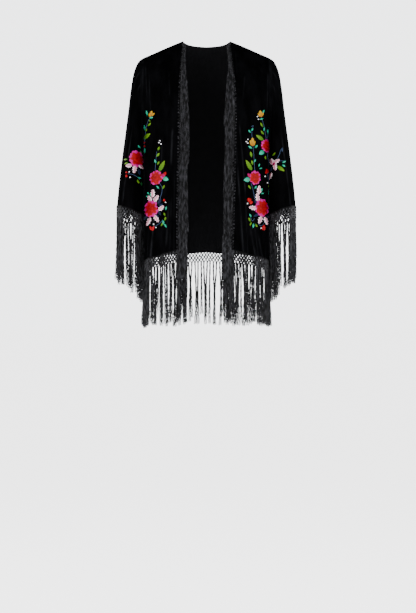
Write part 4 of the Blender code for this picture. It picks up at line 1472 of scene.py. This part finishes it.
def satin_finish():
    """Embroidery silk: the colour of each stitch, with the sheen and ridges of its threads."""
    material, tree, shader = principled(
        "embroidery_silk", Roughness=0.5, Specular_IOR_Level=0.08, Sheen_Weight=0.006,
        Sheen_Roughness=0.4,
    )
    dye(tree, shader, wire(tree, "ShaderNodeAttribute", attribute_name="silk").outputs["Color"])
    cut = wire(tree, "ShaderNodeUVMap").outputs["UV"]
    slanted = mapped(tree, cut, Rotation=(0.0, 0.0, math.radians(60)))
    threads = wire(tree, "ShaderNodeTexWave", {"Vector": slanted, "Scale": 520.0}).outputs["Fac"]
    raise_grain(tree, shader, threads, 0.5, 0.0003)
    return material


satin = satin_finish()
cloth_of = {}
for name in ("front_right", "front_left", "sleeve_right", "sleeve_left"):
    grid = grids[name]
    if name.startswith("sleeve"):
        grid = np.concatenate([grid, grid[:, :1]], axis=1)
    cloth_of[name] = surface_of(grid)
INTO_JACKET = Vector((0.0, 1.0, 0.0))
Patch = namedtuple("Patch", "name y distance")


def first_cloth(x, z, side):
    """The panel of one side that shows from the front at a place, and how far back it lies."""
    nearest = None
    for name in ("front_" + side, "sleeve_" + side):
        eye = Vector((x, BEFORE_JACKET, z))
        place, _, _, distance = cloth_of[name].ray_cast(eye, INTO_JACKET)
        if place is not None and (nearest is None or distance < nearest.distance):
            nearest = Patch(name, place.y, distance)
    return nearest


def on_cloth(patch, x, z):
    """A place on a panel, with the way that the cloth faces there."""
    cloth = cloth_of[patch.name]
    place, normal, _, _ = cloth.ray_cast(Vector((x, BEFORE_JACKET, z)), INTO_JACKET)
    if place is None:
        place, normal, _, _ = cloth.find_nearest(Vector((x, patch.y, z)))
    if normal.y > 0:
        normal = -normal
    return np.array(place), np.array(normal)


Work = namedtuple("Work", "points faces shades cuts")
works = {name: Work([], [], [], []) for name in cloth_of}


def add_work(name, points, faces, shades, cuts):
    """Add one closed piece of stitching to its panel's work."""
    work = works[name]
    first = len(work.points)
    work.faces.extend(tuple(first + k for k in face) for face in turned_out(points, faces))
    work.points.extend(points)
    work.shades.extend(shades)
    work.cuts.extend(cuts)


def half_width(kind, share):
    """The outline of a stitched shape, as a share of half its width."""
    if kind == "leaf":
        return 0.9 * math.sin(math.pi * share)
    if kind == "serrated":
        return math.sin(math.pi * share**0.85) ** 0.7 * (0.74 + 0.30 * ((5 * share) % 1.0))
    if kind == "blush":
        teeth = 0.76 + 0.26 * math.cos(7 * math.pi * share)
        return math.sin(math.pi * share**0.8) ** 0.6 * teeth
    return math.sin(math.pi * share**0.7) ** 0.6


def stitched(motif, lift, rng, patch):
    """One shape filled with satin stitch, laid on its panel."""
    root, tip = (np.array(colour) for colour in SILKS[motif.silk])
    centre = np.array([motif.x, -motif.drop]) / 1000
    length = motif.length / 1000
    turn = math.radians(motif.turn)
    ahead = np.array([math.sin(turn), math.cos(turn)])
    aside = np.array([ahead[1], -ahead[0]])
    tops = []
    feet = []
    shades = []
    cuts = []
    tone = rng.uniform(*UNEVEN_TONE)
    for row in range(STITCH_ROWS):
        share = FIRST_STITCH + (1 - 2 * FIRST_STITCH) * row / (STITCH_ROWS - 1)
        half = half_width(motif.kind, share) * motif.width / 2000
        for column in range(STITCH_COLUMNS):
            across = 2 * column / (STITCH_COLUMNS - 1) - 1
            flat = centre + ahead * (share - 0.5) * length + aside * across * half
            place, facing = on_cloth(patch, *flat)
            crown = math.sqrt(max(0.0, 1 - across**2)) * math.sin(math.pi * share) ** 0.4
            rise = STITCH_RISE * crown
            if motif.kind in ("leaf", "serrated"):
                rise -= VEIN_DEPTH * math.exp(-((across / VEIN_SHARE) ** 2))
            tops.append(place + facing * (lift + STITCH_GAP + max(rise, 0.0)))
            feet.append(place - facing * STITCH_SUNK)
            shift = abs(across) ** 1.5 if motif.kind == "blush" else share
            shades.append((root + (tip - root) * shift) * tone)
            cuts.append((across * half, share * length))
    faces = shell_faces(STITCH_ROWS, STITCH_COLUMNS, False)
    add_work(patch.name, tops + feet, faces, shades * 2, cuts * 2)


def rose(motif, rng, patch):
    """A full-blown rose: three plies of petals, each ply raised on the one outside it."""
    for ply in ROSE_PLIES:
        start = rng.uniform(0, 2 * math.pi)
        for k in range(ply.petals):
            shifted = k + rng.uniform(-PETAL_SHIFT, PETAL_SHIFT)
            turn = start + 2 * math.pi * shifted / ply.petals
            reach = ply.place * rng.uniform(*PETAL_REACHES)
            size = (motif.width + motif.length) / 2 * rng.uniform(*PETAL_SIZES)
            petal = Motif(
                "petal", motif.x + math.sin(turn) * reach * motif.width,
                motif.drop - math.cos(turn) * reach * motif.length,
                ply.length * size, ply.width * size, math.degrees(turn), ply.silk,
            )
            stitched(petal, ply.lift + PETAL_OVERLAP * (k % 2), rng, patch)


def dot(x, z, patch):
    """A knotted dot of white silk."""
    place, facing = on_cloth(patch, x, z)
    place = place + facing * DOT_RADIUS / 2
    points = [place + facing * DOT_RADIUS]
    level = unit(np.cross(facing, (0.0, 0.0, 1.0)))
    upright = np.cross(level, facing)
    for ring in range(1, DOT_RINGS):
        lean = math.pi * ring / DOT_RINGS
        for k in range(DOT_SIDES):
            turn = 2 * math.pi * k / DOT_SIDES
            out = level * math.cos(turn) + upright * math.sin(turn)
            points.append(place + (facing * math.cos(lean) + out * math.sin(lean)) * DOT_RADIUS)
    points.append(place - facing * DOT_RADIUS)
    last = len(points) - 1
    faces = []
    for k in range(DOT_SIDES):
        n = (k + 1) % DOT_SIDES
        faces.append((0, 1 + k, 1 + n))
        faces.append((last, last - DOT_SIDES + n, last - DOT_SIDES + k))
        for ring in range(DOT_RINGS - 2):
            a, b = 1 + ring * DOT_SIDES + k, 1 + ring * DOT_SIDES + n
            faces.append((a, a + DOT_SIDES, b + DOT_SIDES, b))
    shades = [np.array(SILKS["white"][1])] * len(points)
    add_work(patch.name, points, faces, shades, [(0.0, 0.0)] * len(points))


def stem(stalk, side):
    """A couched stem: a thin cord of slate silk through its places."""
    ends = np.array([(x / 1000, -drop / 1000) for x, drop in stalk])
    patch = first_cloth(*ends[len(ends) // 2], side)
    slopes = np.gradient(ends, axis=0)
    last = len(ends) - 1
    steps = STEM_STEPS * len(ends)
    points = []
    for n in range(steps + 1):
        i = min(int(n / steps * last), last - 1)
        u = n / steps * last - i
        stretch = (ends[i], slopes[i], ends[i + 1], slopes[i + 1])
        flat = hermite(*stretch, u)
        ahead = hermite(*stretch, u + STEM_AHEAD) - flat
        place, facing = on_cloth(patch, *flat)
        aside = unit(np.array([ahead[1], 0.0, -ahead[0]]) + 1e-9)
        radius = STEM_RADIUS * (1 + STEM_UNEVENNESS * math.sin(STEM_WAVES * n))
        for k in range(STEM_SIDES):
            turn = 2 * math.pi * k / STEM_SIDES
            out = aside * math.cos(turn) + facing * (STEM_SEAT + math.sin(turn))
            points.append(place + out * radius)
    faces = []
    for n in range(steps):
        for k in range(STEM_SIDES):
            a, b = n * STEM_SIDES + k, n * STEM_SIDES + (k + 1) % STEM_SIDES
            faces.append((a, b, b + STEM_SIDES, a + STEM_SIDES))
    faces.append(tuple(range(STEM_SIDES)))
    faces.append(tuple(range(len(points) - 1, len(points) - 1 - STEM_SIDES, -1)))
    cuts = [(0.0, 0.001 * k) for k in range(len(points))]
    shades = [np.array(SILKS["slate"][1])] * len(points)
    add_work(patch.name, points, faces, shades, cuts)


Spray = namedtuple("Spray", "side motifs dots stems")
for spray in (
    Spray("right", RIGHT_SPRAY, RIGHT_DOTS, RIGHT_STEMS),
    Spray("left", LEFT_SPRAY, LEFT_DOTS, LEFT_STEMS),
):
    rng = np.random.default_rng(7)
    for stalk in spray.stems:
        stem(stalk, spray.side)
    for motif in spray.motifs:
        patch = first_cloth(motif.x / 1000, -motif.drop / 1000, spray.side)
        if motif.kind == "rose":
            rose(motif, rng, patch)
        else:
            stitched(motif, SPRAY_LIFT, rng, patch)
    for x, drop in spray.dots:
        at = (x / 1000, -drop / 1000)
        dot(*at, first_cloth(*at, spray.side))

for name, work in works.items():
    stitching = add_mesh("embroidery_" + name, work.points, work.faces, satin, work.cuts)
    layer = stitching.data.color_attributes.new("silk", "FLOAT_COLOR", "POINT")
    shades = np.concatenate([np.array(work.shades), np.ones((len(work.shades), 1))], axis=1)
    layer.data.foreach_set("color", shades.astype(np.float32).ravel())
    stitching.data.shade_smooth()
    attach(stitching, "root")

# Cut sizes
# The form of a record for each velvet piece as it is cut flat, over its folds: name, width, length,
# # the area that is left once the neck, armholes and slopes are cut away, and what holds it. A
# # sleeve is one piece, seamed under the arm. No record is filled in here.
Cut = namedtuple("Cut", "name width length area held_by")

# Stage
# A plain pale floor that runs into a pale backdrop, with soft lights in front and behind. The
# camera stands in front, level with the fringe of the hem, as for the photograph.
FLOOR_Z = -1.56
FLOOR_CORNERS = ((-40, -8), (40, -8), (40, 60), (-40, 60))
FLOOR_COLOUR = (0.88, 0.88, 0.89, 1.0)
FLOOR_GLOW = 2.75
BACKDROP_COLOUR = (0.97, 0.98, 1.0, 1.0)
BACKDROP_LIGHT = 0.9
BACKDROP_SEEN = 3.7
LIGHTS_AIM = Vector((0.0, 0.0, -0.4))
AIM = Vector((0.0045, 0.0, -0.730))
CAMERA_DISTANCE = 5.0
FRAME_HEIGHT = 1.686
SENSOR = 36.0

floor_finish, _, _ = principled(
    "studio_floor", Roughness=0.9, Base_Color=FLOOR_COLOUR, Emission_Color=(1.0, 1.0, 1.0, 1.0),
    Emission_Strength=FLOOR_GLOW,
)
corners = [(x, y, FLOOR_Z) for x, y in FLOOR_CORNERS]
floor = add_mesh("studio_floor", corners, [(0, 1, 2, 3)], floor_finish)

world = bpy.data.worlds.new("studio")
world.use_nodes = True
sky = world.node_tree
seen = wire(sky, "ShaderNodeLightPath").outputs["Is Camera Ray"]
strength = wire(sky, "ShaderNodeMix", {
    "Factor": seen, "A": BACKDROP_LIGHT, "B": BACKDROP_SEEN,
}, data_type="FLOAT")
sky.nodes["Background"].inputs["Color"].default_value = BACKDROP_COLOUR
sky.links.new(strength.outputs["Result"], sky.nodes["Background"].inputs["Strength"])
bpy.context.scene.world = world

Light = namedtuple("Light", "name place size power")
LIGHTS = [
    Light("key", (-1.6, -2.6, 0.9), 1.4, 45.0),
    Light("fill", (1.9, -2.4, 0.3), 1.6, 28.0),
    Light("rim_right", (-2.0, 0.7, 0.2), 1.2, 22.0),
    Light("rim_left", (2.0, 0.7, 0.2), 1.2, 22.0),
]
for light in LIGHTS:
    data = bpy.data.lights.new(light.name, "AREA")
    data.energy = light.power
    data.size = light.size
    lamp = bpy.data.objects.new(light.name, data)
    lamp.location = light.place
    lamp.rotation_euler = (LIGHTS_AIM - lamp.location).to_track_quat("-Z", "Y").to_euler()
    bpy.context.scene.collection.objects.link(lamp)

camera_data = bpy.data.cameras.new("camera")
camera_data.sensor_width = SENSOR
camera_data.lens = SENSOR * CAMERA_DISTANCE / FRAME_HEIGHT
camera = bpy.data.objects.new("camera", camera_data)
camera.location = AIM + Vector((0.0, -CAMERA_DISTANCE, 0.0))
camera.rotation_euler = (math.pi / 2, 0.0, 0.0)
bpy.context.scene.collection.objects.link(camera)
bpy.context.scene.camera = camera
